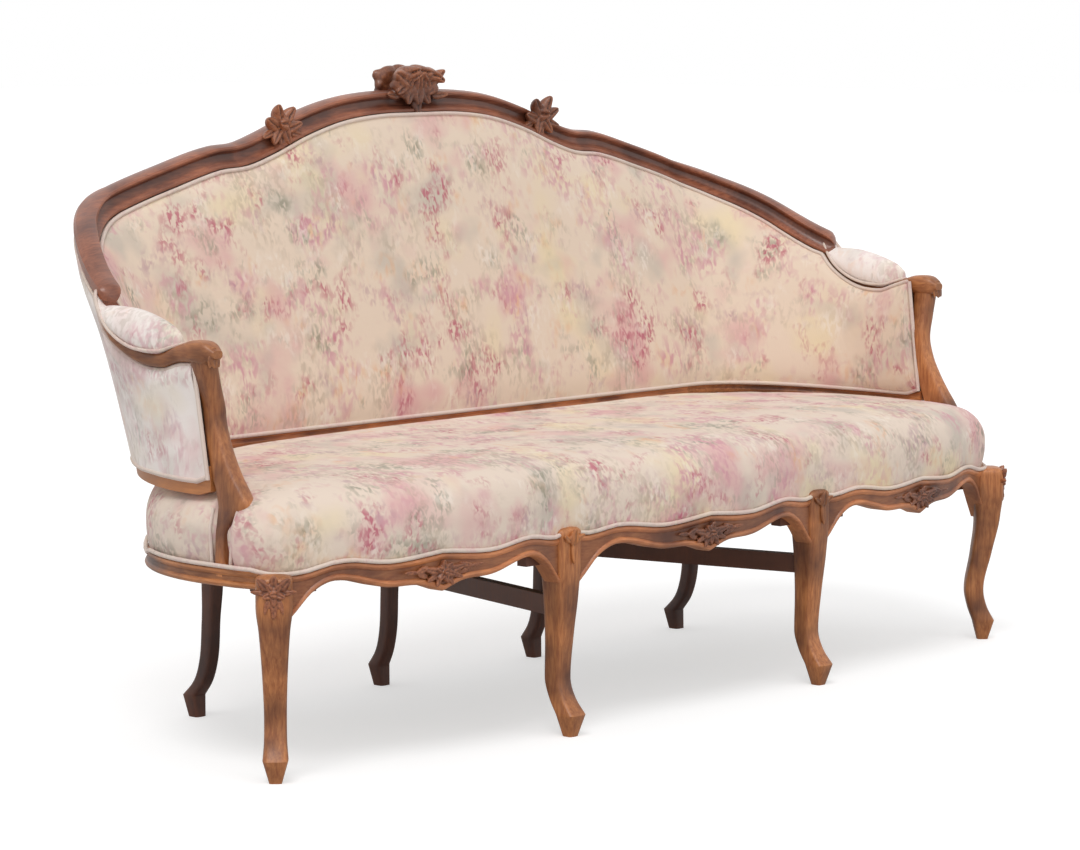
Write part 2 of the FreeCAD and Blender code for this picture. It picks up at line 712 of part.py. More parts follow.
ARM_TOP = [(0, joint_height)]
ARM_TOP += [(share, mix(arm_dip, joint_height, rise)) for share, rise in ((0.12, 0.52), (0.25, 0.23), (0.41, 0.04))]
ARM_TOP += [(share, mix(arm_dip, arm_top, rise)) for share, rise in ((0.57, 0), (0.72, 0.6), (0.84, 1), (0.94, 0.9))]
ARM_TOP.append((1, arm_top - 14))
ARM_DEPTH = ((0, size("show_depth") + 4), (0.15, arm_deep + 3), (0.3, arm_deep), (0.57, arm_deep), (0.72, arm_deep + 2),
             (0.84, arm_deep + 9), (0.94, arm_deep + 8), (1, arm_deep - 14))
ARM_WIDTH = ((0, rail_thick), (0.3, arm_wide), (0.55, arm_wide), (0.72, arm_wide - 5), (0.85, arm_wide),
             (0.95, arm_wide - 8), (1, arm_wide - 22))


def arm_line(y):
    """Height of the arm's top edge."""
    return smooth(ARM_TOP, arm_share(y))


def arm_under(y):
    return arm_line(y) - smooth(ARM_DEPTH, arm_share(y))


arm_rings = []
for share in ARM_SHARES:
    y = along_arm(share)
    width = smooth(ARM_WIDTH, share)
    arm_rings.append([Vector(arm_x + width * u, y, mix(arm_under(y), arm_line(y), v)) for u, v in ARM_SECTION])
arm_blank = freeform("arm_blank", facets(arm_rings))

# Arm supports: swept back below the knuckle and out again to a scroll, standing on the side rails

# Share of the height over the ledge; front and rear edges behind the knuckle's front; shift of the middle
SUPPORT_FORM = ((0, -24, 1, -2), (0.11, -18, 3, -5), (0.18, -16, 6, -9), (0.26, -34, 9, -14), (0.31, -57, 11, -16),
                (0.37, -46, 15, -16), (0.43, -30, 23, -16), (0.52, -10, 31, -17), (0.61, 5, 37, -18),
                (0.71, 13, 42, -18), (0.83, 13, 47, -9), (0.94, 12, 53, -1), (1, 15, 57, 0))
SUPPORT_SECTION = ((-0.5, 0.2), (-0.3, 0), (0.3, 0), (0.5, 0.2), (0.5, 0.8), (0.3, 1), (-0.3, 1), (-0.5, 0.8))
support_wide = size("support_width")
support_rings = []
for share, front, rear, shift in SUPPORT_FORM:
    height = mix(ledge, arm_top - 13, share)
    support_rings.append([Vector(arm_x + shift + support_wide * u, arm_front + mix(front, rear, v), height)
                          for u, v in SUPPORT_SECTION])
support_blank = freeform("support_blank", facets(support_rings))
support_top_tenon = box("support_top_tenon", ("Sizes.tenon_thickness", "Sizes.tenon_length", "Sizes.tenon_length"),
                        Placement(Vector(arm_x - 2, arm_front + 35, arm_top - 33), Rotation()))
support_low_tenon = box("support_low_tenon", ("Sizes.tenon_thickness", 14, "Sizes.tenon_length"),
                        Placement(Vector(arm_x - 4, arm_front - 11, ledge), Rotation()))
support = fuse("support_tenoned", [cut("support_scribed", support_blank, [arm_blank, side_scribed]),
                                   support_top_tenon, support_low_tenon])
arm_tenon = box("arm_tenon", ("Sizes.tenon_thickness", "Sizes.tenon_length", "Sizes.top_rail_depth - 28"),
                Placement(Vector(arm_x - 3, arm_joint, joint_height - size("top_rail_depth") / 2 - 4), Rotation()))
arm = fuse("arm_tenoned", [cut("arm_mortised", arm_blank, [support_top_tenon]), arm_tenon])
side_rail = cut("side_rail_mortised", side_rail, [support_low_tenon])
outer_rail = cut("outer_rail_mortised_twice", outer_rail, [arm_tenon])

# Wings: the same lower rail swept round the turn, its slope running out to nothing


def low_ring(point, heading):
    steep = 1 - max(math.cos(math.radians(heading)), 0)
    ring = []
    for out, up in low_section():
        rise = size("back_rake") * low_deep * steep if up > low_z + low_show else 0
        ring.append(point + outward(heading) * (out - rise) + Vector(0, 0, up))
    return ring


LOW_TURNS = (12, 24, 36, 48, 60, 72, 82, 90)


def low_dip(turn):
    """The lower rail falls a little as it turns to the side."""
    return size("low_rail_dip") * math.sin(math.radians(turn)) ** 2


wing_end = Vector(size("low_arm_x"), arm_front + 20, -size("low_rail_dip") / 2)
wing_rings = [low_ring(Vector(rear_x, low_y, 0), 0), low_ring(Vector(size("low_corner_x"), low_y, 0), 0)]
for turn in LOW_TURNS:
    point, heading = turn_point("low", turn)
    wing_rings.append(low_ring(point - Vector(0, 0, low_dip(turn)), heading))
wing_rings.append(low_ring(wing_end, 90))
wing_blank = freeform("wing_blank", facets(wing_rings))
wing_tenon = box("wing_tenon", ("Sizes.tenon_thickness", "Sizes.tenon_length", tenon_slim),
                 Placement(wing_end + Vector(low_thick / 2, 0, low_mid_z), Rotation()))
wing = fuse("wing_tenoned", [cut("wing_scribed", wing_blank, [rear_legs["outer"], support]),
                             low_tenons["outer_out"], wing_tenon])
support = cut("support_mortised", support, [wing_tenon])

# Mortises in the legs
corner_leg_cut = cut("corner_leg_mortised", corner_leg, [corner_tenon, side_front_tenon])
mid_leg_cut = cut("mid_leg_mortised", mid_leg, [centre_tenon, inner_tenon, stretch_tenon])
rear_outer_cut = cut("rear_outer_mortised", rear_legs["outer"],
                     [side_rear_tenon, rear_bay_tenons[1], low_tenons["outer_in"], low_tenons["outer_out"]])
rear_mid_cut = cut("rear_mid_mortised", rear_legs["middle"],
                   [rear_bay_tenons[0], rear_centre_tenons[1], low_tenons["mid_in"], low_tenons["mid_out"],
                    stretch_tenon])

pair("front_leg", corner_leg_cut)
pair("front_leg_mid", mid_leg_cut)
pair("rear_leg", rear_outer_cut)
pair("rear_leg_mid", rear_mid_cut)
pair("seat_rail_front", bay_rail)
piece("seat_rail_front_centre", centre_rail)
pair("seat_rail_side", side_rail)
pair("seat_rail_rear", rear_bay)
piece("seat_rail_rear_centre", rear_centre)
pair("cross_stretcher", stretcher)
top_centre = piece("top_rail_centre", carved_rail)
pair("top_rail", outer_rail)
pair("arm_rail", arm)
pair("arm_support", support)
piece("lower_back_rail_centre", low_centre)
pair("lower_back_rail", low_bay)
pair("wing_rail", wing)

# Glue blocks in the corners between the rails and the legs, under the ledge

block_side = size("block_size")
inner_y = mid_block_y + rail / 2
rear_y = post_y - size("rear_rail_thickness") / 2
knee_reach = shoulder + block_side
block_plans = {
    "centre": ([(mid_x - shoulder + 6, inner_y - 20), (mid_x - knee_reach, inner_y - 20), (mid_x - knee_reach, inner_y),
                (mid_x - shoulder + 6, inner_y + block_side)], [centre_rail, mid_leg]),
    "inner": ([(mid_x + shoulder - 6, inner_y - 20), (mid_x + knee_reach, inner_y - 20), (mid_x + knee_reach, inner_y),
               (mid_x + shoulder - 6, inner_y + block_side)], [bay_rail, mid_leg]),
    "corner": ([(corner_x - 1.6 * block_side, corner_face_y + 10), (corner_x - 25, corner_face_y + 10),
                (corner_x - 25, corner_face_y + 1.4 * block_side)], [bay_rail, side_rail, corner_leg]),
    "rear": ([(rear_x - post / 2, rear_y), (rear_x - post / 2 - block_side, rear_y),
              (rear_x - post / 2, rear_y - block_side)], [rear_legs["outer"]]),
    "rear_mid": ([(rear_mid_x + post / 2, rear_y), (rear_mid_x + post / 2 + block_side, rear_y),
                  (rear_mid_x + post / 2, rear_y - block_side)], [rear_legs["middle"]]),
}
blocks = []
for key, (corners, around) in block_plans.items():
    outline = sketch(f"{key}_block_plan", PLAN, closed(corners))
    solid = extrude(f"{key}_block", outline, "Sizes.rail_ledge - Sizes.front_rail_bottom")
    solid.Placement = Placement(Vector(0, 0, size("front_rail_bottom") - 2), Rotation())
    solid.setExpression("Placement.Base.z", "Sizes.front_rail_bottom - 2")
    trimmed = cut(f"{key}_block_trimmed", solid, around)
    blocks += [trimmed, mirror(f"{key}_block_mirrored", trimmed)]
piece("corner_blocks", compound("glue_blocks", blocks))

# Seat: webs, hessian, stuffing and cover

cloth = size("cloth")
web = size("web_thickness")
web_wide = size("web_width")


def front_y(x):
    return bow_y(centre_bow if abs(x) < mid_x else bay_bow, abs(x))


def side_edge(y):
    """X of the side rail's face at y."""
    front = -size("front_leg_y")
    if y < side_corner_y:
        return smooth([(front, corner_x + 6), (mix(front, side_corner_y, 0.5), side_x - 4), (side_corner_y, side_x)], y)
    share = (y - side_corner_y) / (size("rear_rail_y") - side_corner_y)
    return mix(side_corner_x, side_x, math.sqrt(1 - share ** 2))


def rear_edge(x):
    """Y of the side rail's face at x, or of the rear rail's back edge between the rear legs."""
    share = max(x - side_corner_x, 0) / (side_x - side_corner_x)
    return mix(side_corner_y, size("rear_rail_y"), math.sqrt(1 - share ** 2))


web_inset = lip + 3
clear = 4
web_bays = ((-rear_mid_x + post / 2, rear_mid_x - post / 2, 5), (rear_mid_x + post / 2, mid_x - shoulder, 1),
            (mid_x + shoulder, rear_x - post / 2, 3), (rear_x + post / 2, corner_x - 2 * shoulder, 3))


def spread(bays):
    """Places spread evenly in bays: a bay beside the middle one is repeated on the left."""
    spots = []
    for start, end, count in bays:
        places = [mix(start, end, (index + 0.5) / count) for index in range(count)]
        spots += places if start < 0 else places + [-x for x in places]
    return spots


webs = []
for index, x in enumerate(spread(web_bays)):
    reach = abs(x) + web_wide / 2
    front = front_y(reach) + web_inset + clear
    back = rear_edge(reach) - (web_inset + clear if reach > rear_x else clear)
    webs.append(box(f"cross_web_{index}", ("Sizes.web_width", back - front, "Sizes.web_thickness"),
                    Placement(Vector(x, (front + back) / 2, ledge + web / 2), Rotation())))
LONG_WEBS = 4
for index in range(LONG_WEBS):
    y = mix(-size("front_leg_y") + shoulder + web_wide / 2, size("rear_rail_y") - 80, index / (LONG_WEBS - 1))
    reach = min(side_edge(y - web_wide / 2), side_edge(y + web_wide / 2)) - web_inset - 2 * clear
    webs.append(box(f"long_web_{index}", (2 * reach, "Sizes.web_width", "Sizes.web_thickness"),
                    Placement(Vector(0, y, ledge + 1.5 * web), Rotation())))
piece("seat_webbing", compound("seat_webs", webs))


def seat_ring(inset, height):
    """Plan of the seat as a ring of points, shrunk towards its middle."""
    bay = [mix(mid_x, corner_x, share) for share in (0.25, 0.5, 0.75, 0.93)]
    right = [(x, front_y(x)) for x in [0, mid_x / 3, mid_x * 2 / 3, mid_x] + bay]
    right += [(side_x - 9, -size("front_leg_y") + 22), (side_x, mix(-size("front_leg_y"), side_corner_y, 0.6))]
    for turn in (90, 75, 60, 45, 30, 15):
        angle = math.radians(turn)
        right.append((mix(side_corner_x, side_x, math.sin(angle)),
                      mix(side_corner_y, size("rear_rail_y"), math.cos(angle))))
    back = size("rear_rail_y") + 4
    right += [(rear_mid_x, back), (0, back)]
    middle_y = (back - size("front_reach")) / 2
    narrow = 1 - 2 * inset / side_x
    shallow = 1 - inset / (back - middle_y)
    ring = [Vector(x * narrow, middle_y + (y - middle_y) * shallow, height) for x, y in right]
    return ring + [Vector(-point.x, point.y, height) for point in ring[-2:0:-1]]


SEAT_DOME = ((0.15, 3), (0.45, 3), (0.66, 10), (0.83, 28), (0.92, 60), (0.975, 110), (1, 180))
seat_base = ledge + 3 * web


def seat_form(name, base, grow):
    """The domed seat from its base up; grow is how far it stands outside the stuffing."""
    crown = size("seat_crown") - cloth
    rings = [seat_ring(5 - grow, base)]
    for share, inset in SEAT_DOME:
        rings.append(seat_ring(inset - grow / 2, mix(size("side_rail_top"), crown, share) + grow * share))
    return freeform(name, facets(rings))


legs_in_seat = [corner_leg, mid_leg, support_blank, rear_legs["outer"], rear_legs["middle"]]
half_frame = fuse("half_frame_in_seat", [bay_blank, side_outer] + legs_in_seat)
frame_in_seat = fuse("frame_in_seat", [half_frame, mirror("half_frame_mirrored", half_frame), centre_blank])
hessian_ring = seat_ring(lip + clear, seat_base - web)
hessian_form = freeform("hessian_form", flat(hessian_ring).extrude(Vector(0, 0, web)))
piece("seat_hessian", cut("seat_hessian_notched", hessian_form, [frame_in_seat]))
inner_form = seat_form("seat_inner_form", seat_base, 0)
outer_form = seat_form("seat_outer_form", size("side_rail_top"), cloth)
piece("seat_stuffing", cut("seat_stuffing_notched", inner_form, [frame_in_seat]))
piece("seat_cover", cut("seat_cover_notched", cut("seat_cover_hollowed", outer_form, [inner_form]), [frame_in_seat]))

# Back: webs, stuffing, inside cover and outside cover, spread between the lower and the upper rails

show = size("show_depth")


def back_edges():
    """Where the covers meet the rails, round the right half of the back.

    Each station is the lower and upper edge of the inside cover, those of the outside cover, and the
    headings at its foot and at its head.
    """
    edges = []
    behind = low_thick + size("back_rake") * low_show + 1
    stations = top_stations(0, size("top_arm_x"))
    for (top, heading, turn), stretch in zip(stations[:-1], stretches(stations)):
        if turn:
            low, low_heading = turn_point("low", turn)
            low.z = -low_dip(turn)
        else:
            low = Vector(top.x / size("top_corner_x") * size("low_corner_x"), low_y, 0)
            low_heading = 0
        low.z += low_z + low_show
        edges.append((low, set_off(top, heading, 0, -(show + 3) * stretch), low + outward(low_heading) * behind,
                      set_off(top, heading, rail_thick - rebate / 2 + 0.5, -(show / 2 + 3) * stretch),
                      low_heading, heading))
    under_arm = arm_x - arm_wide / 2 - rebate
    for turn, y in ((72, arm_joint - 20), (80, arm_joint - 70), (86, arm_joint - 120), (90, arm_front + 90)):
        low, heading = turn_point("low", turn)
        low.z = low_z + low_show - low_dip(turn)
        edges.append((low, Vector(under_arm, y, arm_line(y) - 10), low + outward(heading) * (low_thick + 1),
                      Vector(arm_x + 6, y, arm_under(y) - 0.5), heading, 90))
    low = wing_end + Vector(0, 6, low_z + low_show)
    top_y = arm_front + 64
    edges.append((low, Vector(under_arm, top_y, arm_line(top_y) - 10), low + Vector(low_thick + 1, 0, 0),
                  Vector(arm_x + 6, top_y, arm_under(top_y) - 0.5), 90, 90))
    return edges


def swept_back(name, section, outside=False):
    """Sweeps a section, given as (share of the height, offset) pairs, round both halves of the back."""
    right = []
    for inner_low, inner_top, outer_low, outer_top, low_heading, top_heading in back_edges():
        low, top = (outer_low, outer_top) if outside else (inner_low, inner_top)
        right.append([low + (top - low) * share + outward(mix(low_heading, top_heading, share)) * out
                      for share, out in section])
    left = [[Vector(-point.x, point.y, point.z) for point in ring] for ring in right[:0:-1]]
    return freeform(name, facets(left + right))


BULGE = ((0.0, 0.0), (0.1, 0.62), (0.3, 0.95), (0.6, 1.0), (0.88, 0.62), (1.0, 0.0))
bulge = size("back_bulge") - cloth
stuffing_front = [(share, -rise * bulge - 1) for share, rise in BULGE]
cover_front = [(share, out - cloth) for share, out in stuffing_front]
outer_mirrored = mirror("outer_rail_mirrored", outer_rail)
rails_round_back = [top_centre, outer_rail, outer_mirrored]
wood_round_back = fuse("wood_round_back", rails_round_back + [arm, mirror("arm_mirrored", arm), wing_blank,
                                                              mirror("wing_blank_mirrored", wing_blank)])
stuffing_form = swept_back("back_stuffing_form", [(0, rebate - 4.5)] + stuffing_front + [(1, rebate - 4.5)])
cover_form = swept_back("back_cover_form", stuffing_front + cover_front[::-1])
outside_form = swept_back("back_outside_form", [(0, 0), (1, 0), (1, cloth), (0, cloth)], outside=True)
piece("back_stuffing", cut("back_stuffing_trimmed", stuffing_form, [wood_round_back]))
piece("back_cover", cut("back_cover_trimmed", cover_form, [wood_round_back]))
piece("back_outside_cover", cut("back_outside_trimmed", outside_form, [wood_round_back]))

back_webs = []
back_web_places = spread([(-rear_mid_x + post / 2, rear_mid_x - post / 2, 3), (rear_mid_x + post / 2, rear_x - post / 2, 3)])
for index, x in enumerate(back_web_places):
    rake_run = size("back_rake")
    foot = low_y + rebate + rake_run * (low_deep - low_show) / 2 + 2
    foot_z = low_z + (low_deep + low_show) / 2
    head = set_off(Vector(x, ridge_y, ridge_height(x)), 0, rebate, -(show + size("top_rail_depth")) / 2)
    outline = sketch(f"back_web_{index}_side", SIDE, closed([(foot - web, foot_z), (head.y - web, head.z),
                                                             (head.y, head.z), (foot, foot_z)]))
    strap = extrude(f"back_web_{index}", outline, "Sizes.web_width", True)
    strap.Placement = Placement(Vector(x, 0, 0), Rotation())
    back_webs.append(strap)
piece("back_webbing", cut("back_webs_trimmed", compound("back_webs", back_webs), rails_round_back))

# Arm pads, a leaf in plan, lying on the arms

pad_rear = size("arm_pad_rear_y")
pad_front = -size("arm_pad_front_y")
PAD_FORM = ((0.04, 0.45, 0.7), (0.15, 0.7, 0.71), (0.3, 0.92, 0.71), (0.5, 1.0, 0.69), (0.7, 0.92, 0.58),
            (0.88, 0.66, 0.42), (0.98, 0.3, 0.26))
PAD_SECTION = ((-0.7, 0), (-1, 0.3), (-0.85, 0.7), (-0.4, 1), (0.4, 1), (0.85, 0.7), (1, 0.3), (0.7, 0))
pad_rings = []
for share, wide, tall in PAD_FORM:
    y = mix(pad_rear, pad_front, share)
    seat_z = arm_line(y) - 4
    half = size("arm_pad_width") / 2 * wide
    rise = max(mix(arm_dip, joint_height, tall) - seat_z, 6)
    pad_rings.append([Vector(arm_x + half * u, y, seat_z + rise * v) for u, v in PAD_SECTION])
pair("arm_pad", cut("arm_pad_seated", freeform("arm_pad_form", facets(pad_rings)), [arm_blank]))

doc.recompute()
for item in doc.Objects:
    if "Invalid" in item.State or "Error" in item.State:
        raise RuntimeError(f"{item.Label} did not build")
for node, solid in PIECES.items():
    if solid.Shape.isNull() or not solid.Shape.isValid():
        raise RuntimeError(f"{node} is not a valid shape")
os.makedirs("parts", exist_ok=True)
for node, solid in PIECES.items():
    solid.Shape.exportStep(f"parts/{node}.step")
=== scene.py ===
import bmesh
import bpy
import math
from mathutils import Matrix, Vector


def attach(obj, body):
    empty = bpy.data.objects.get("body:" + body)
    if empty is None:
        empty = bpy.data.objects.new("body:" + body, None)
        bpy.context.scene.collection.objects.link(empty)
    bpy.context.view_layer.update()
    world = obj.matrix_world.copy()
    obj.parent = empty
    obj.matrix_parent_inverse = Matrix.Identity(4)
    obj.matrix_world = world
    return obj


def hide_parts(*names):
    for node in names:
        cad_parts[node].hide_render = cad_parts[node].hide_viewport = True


# A cabriole sofa in carved beech with a floral cover. Shapes are in millimetres until a mesh is placed.
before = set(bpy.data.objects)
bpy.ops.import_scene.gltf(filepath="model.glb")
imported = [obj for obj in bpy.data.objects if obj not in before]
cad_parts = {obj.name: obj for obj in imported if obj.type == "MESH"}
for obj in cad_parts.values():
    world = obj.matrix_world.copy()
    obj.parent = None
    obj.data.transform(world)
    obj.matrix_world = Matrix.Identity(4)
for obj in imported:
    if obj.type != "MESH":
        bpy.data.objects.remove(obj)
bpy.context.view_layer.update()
MM = 0.001

# Driving dimensions, the same as the frame's
FRONT_LEG = (910, -262)
FRONT_MID = (323, -340)
REAR_LEG_X = 615
REAR_MID_X = 196
POST_Y = 198
LEDGE = 312
FRONT_REACH = 365
RAIL = 32
RAIL_TOP = 325
RAIL_WAVE = 10
RAIL_BOTTOM = 288
SIDE_X = 935
SIDE_CORNER = (620, -120)
SIDE_REAR_Y = 200
SIDE_TOP = 326
SIDE_DEEP = 29
ARCH = 1029
RIDGE_Y = 329
RAIL_THICK = 36
RAIL_DEEP = 52
SHOW = 38
RAKE = 0.23
TOP_CORNER = (700, -6)
TOP_ARM_X = 915
JOINT_X = 430
LOW_Y = 212
LOW_Z = 447
LOW_DEEP = 40
LOW_SHOW = 18
LOW_THICK = 28
LOW_CORNER = (620, -100)
LOW_ARM_X = 888
LOW_DIP = 15
REBATE = 8
ARM_X = 917
ARM_JOINT = 128
ARM_FRONT = -148
JOINT_HEIGHT = 742
ARM_HIGH = 673
ARM_LOW = 652
ARM_WIDE = 42
CROWN = 461


def mix(low, high, share):
    return low + (high - low) * share


def smooth(table, value):
    """Reads (value, result) pairs along a smooth curve through them."""
    if value <= table[0][0]:
        return table[0][1]
    if value >= table[-1][0]:
        return table[-1][1]
    slopes = [(b[1] - a[1]) / (b[0] - a[0]) for a, b in zip(table, table[1:])]
    tangents = [slopes[0]]
    for before, after in zip(slopes, slopes[1:]):
        tangents.append((before + after) / 2 if before * after > 0 else 0)
    tangents.append(slopes[-1])
    index = next(place for place, (high, _) in enumerate(table[1:]) if value <= high)
    (low, first), (high, second) = table[index:index + 2]
    span = high - low
    share = (value - low) / span
    rise = mix(first, second, share * share * (3 - 2 * share))
    lead = tangents[index] * span * share * (1 - share) ** 2
    trail = tangents[index + 1] * span * share * share * (share - 1)
    return rise + lead + trail


def steps(start, end, count):
    return [mix(start, end, index / count) for index in range(count + 1)]


def sweep(name, rings):
    """A disc whose face is extruded from ring to ring; every ring has as many points."""
    bpy.ops.object.select_all(action="DESELECT")
    bpy.ops.mesh.primitive_circle_add(vertices=len(rings[0]), radius=1, fill_type="NGON")
    made = bpy.context.object
    made.name = name
    bpy.ops.object.mode_set(mode="EDIT")
    shell = bmesh.from_edit_mesh(made.data)
    spots = shell.verts.layers.int.new("spot")
    for spot, corner in enumerate(shell.verts):
        corner[spots] = spot
    for index, ring in enumerate(rings):
        if index:
            bpy.ops.mesh.extrude_region_move()
        shell = bmesh.from_edit_mesh(made.data)
        spots = shell.verts.layers.int["spot"]
        for corner in shell.verts:
            if corner.select:
                corner.co = ring[corner[spots]] * MM
        bmesh.update_edit_mesh(made.data)
    bpy.ops.mesh.select_all(action="SELECT")
    bpy.ops.mesh.normals_make_consistent(inside=False)
    bpy.ops.object.mode_set(mode="OBJECT")
    return made


def dress(made, material, nodes=(), angle=38):
    """Finishes a piece: smooth shading, its material, and the frame nodes that it stands for."""
    bpy.ops.object.select_all(action="DESELECT")
    made.select_set(True)
    bpy.context.view_layer.objects.active = made
    bpy.ops.object.shade_smooth_by_angle(angle=math.radians(angle))
    made.data.materials.clear()
    made.data.materials.append(material)
    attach(made, "root")
    if nodes:
        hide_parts(*nodes)


def mirrored(made, name):
    """The same piece for the other side, with a mesh of its own."""
    twin = made.copy()
    twin.data = made.data.copy()
    twin.name = name
    bpy.context.scene.collection.objects.link(twin)
    twin.data.transform(Matrix.Scale(-1, 4, (1, 0, 0)))
    twin.data.flip_normals()
    return twin


def both_sides(made, stem, material, nodes=(), angle=38):
    """The piece and its mirror image; nodes are stems of node names."""
    twin = mirrored(made, stem + "_left")
    made.name = stem + "_right"
    dress(made, material, [node_stem + "_right" for node_stem in nodes], angle)
    dress(twin, material, [node_stem + "_left" for node_stem in nodes], angle)


CORD_SIDES = 8


def cord_rings(path, radius):
    """Rings of a round cord that follows the points of its path."""
    turns = [math.tau * spoke / CORD_SIDES for spoke in range(CORD_SIDES)]
    side = Vector((0, 0, 1))
    rings = []
    for index, point in enumerate(path):
        along = (path[min(index + 1, len(path) - 1)] - path[max(index - 1, 0)]).normalized()
        side = (side - along * side.dot(along)).normalized()
        across = along.cross(side)
        rings.append([point + side * (radius * math.cos(turn)) + across * (radius * math.sin(turn))
                      for turn in turns])
    return rings


# Materials


def tint(code):
    """An sRGB hex colour as linear RGBA."""
    channels = [int(code[place:place + 2], 16) / 255 for place in (1, 3, 5)]
    return (*[c / 12.92 if c <= 0.04045 else ((c + 0.055) / 1.055) ** 2.4 for c in channels], 1)


def node(tree, kind, links=None, **settings):
    """Adds a shader node with its settings; links are values or sockets for its inputs."""
    made = tree.nodes.new("ShaderNode" + kind)
    for key, value in settings.items():
        setattr(made, key, value)
    for key, value in (links or {}).items():
        if isinstance(value, bpy.types.NodeSocket):
            tree.links.new(value, made.inputs[key])
        else:
            made.inputs[key].default_value = value
    return made


# Where a Mix node has its two colours and its mixed colour, and how far apart the bands of a wave are
MIX_A, MIX_B, MIX_OUT = 6, 7, 2
WAVE_M = 0.3


def new_material(name):
    material = bpy.data.materials.new(name)
    material.use_nodes = True
    tree = material.node_tree
    place = node(tree, "TexCoord").outputs["Object"]
    return material, tree, tree.nodes["Principled BSDF"], place


def stained_beech(name, pale, middle, deep, stretch, gloss=0.34):
    """Beech stained walnut and waxed: grain along the piece, painted shade in the carving's hollows, worn on
    the edges.
    """
    material, tree, shader, place = new_material(name)
    grain_mm, cloud_mm = 5, 90
    cloud_depth, hollow_shade_depth, wear = 0.82, 0.85, 0.5
    grain_place = node(tree, "Mapping", {"Vector": place, "Scale": stretch})
    grain = node(tree, "TexNoise", {
        "Vector": grain_place.outputs[0], "Scale": 1 / (grain_mm * MM), "Detail": 6, "Roughness": 0.65,
        "Distortion": 0.4})
    cloud = node(tree, "TexNoise", {"Vector": place, "Scale": 1 / (cloud_mm * MM), "Detail": 3})
    grain_share = node(tree, "MapRange", {
        "Value": grain.outputs["Fac"], "From Min": 0.32, "From Max": 0.7})
    cloud_share = node(tree, "MapRange", {
        "Value": cloud.outputs["Fac"], "From Min": 0.35, "From Max": 0.68, "To Max": cloud_depth})
    ground = node(tree, "Mix", {
        "Factor": grain_share.outputs[0], MIX_A: tint(middle), MIX_B: tint(pale)}, data_type="RGBA")
    shaded = node(tree, "Mix", {
        "Factor": cloud_share.outputs[0], MIX_A: ground.outputs[MIX_OUT], MIX_B: tint(deep)},
        data_type="RGBA")
    form = node(tree, "NewGeometry").outputs["Pointiness"]
    # Painted shade: where the surface hollows in, as in the carving, the colour darkens towards a near-black
    # brown
    hollow = node(tree, "MapRange", {
        "Value": form, "From Min": 0.5, "From Max": 0.43, "To Max": hollow_shade_depth})
    edge = node(tree, "MapRange", {"Value": form, "From Min": 0.52, "From Max": 0.6, "To Max": wear})
    shade_in_hollows = node(tree, "Mix", {
        "Factor": hollow.outputs[0], MIX_A: shaded.outputs[MIX_OUT], MIX_B: tint("#2c140c")},
        data_type="RGBA")
    worn = node(tree, "Mix", {
        "Factor": edge.outputs[0], MIX_A: shade_in_hollows.outputs[MIX_OUT], MIX_B: tint(pale)}, data_type="RGBA")
    rough = node(tree, "MapRange", {
        "Value": grain.outputs["Fac"], "To Min": gloss, "To Max": gloss + 0.22})
    relief = node(tree, "Bump", {
        "Height": grain.outputs["Fac"], "Strength": 0.25, "Distance": 0.6 * MM})
    tree.links.new(worn.outputs[MIX_OUT], shader.inputs["Base Color"])
    tree.links.new(rough.outputs[0], shader.inputs["Roughness"])
    tree.links.new(relief.outputs[0], shader.inputs["Normal"])
    shader.inputs["IOR"].default_value = 1.5
    shader.inputs["Coat Weight"].default_value = 0.15
    shader.inputs["Coat Roughness"].default_value = 0.3
    return material


# Colour, size of its patches and strokes in mm (0 for a plain wash), cover of the cloth, strength, seed
PAINT = [
    ("#e9d7ac", 190, 0, 0.44, 0.60, 3),
    ("#dba8a8", 150, 0, 0.47, 0.70, 11),
    ("#beb5a9", 130, 0, 0.43, 0.60, 23),
    ("#e0a878", 80, 15, 0.38, 0.50, 37),
    ("#a3917a", 130, 9, 0.52, 0.45, 51),
    ("#80806c", 90, 8, 0.42, 0.66, 67),
    ("#cf95a0", 110, 11, 0.52, 0.80, 83),
    ("#ab7b8e", 85, 9, 0.40, 0.50, 97),
    ("#b9586f", 84, 7, 0.43, 0.80, 113),
    ("#f0e4d8", 70, 8, 0.44, 0.55, 131),
]


# How far a seed moves the patches and the strokes, in metres, and how soft a patch's edge is
PATCH_STEP = (0.37, 0.11, 0.23)
STROKE_STEP = (0.53, 0, 0.19)
PATCH_EDGE = 0.14


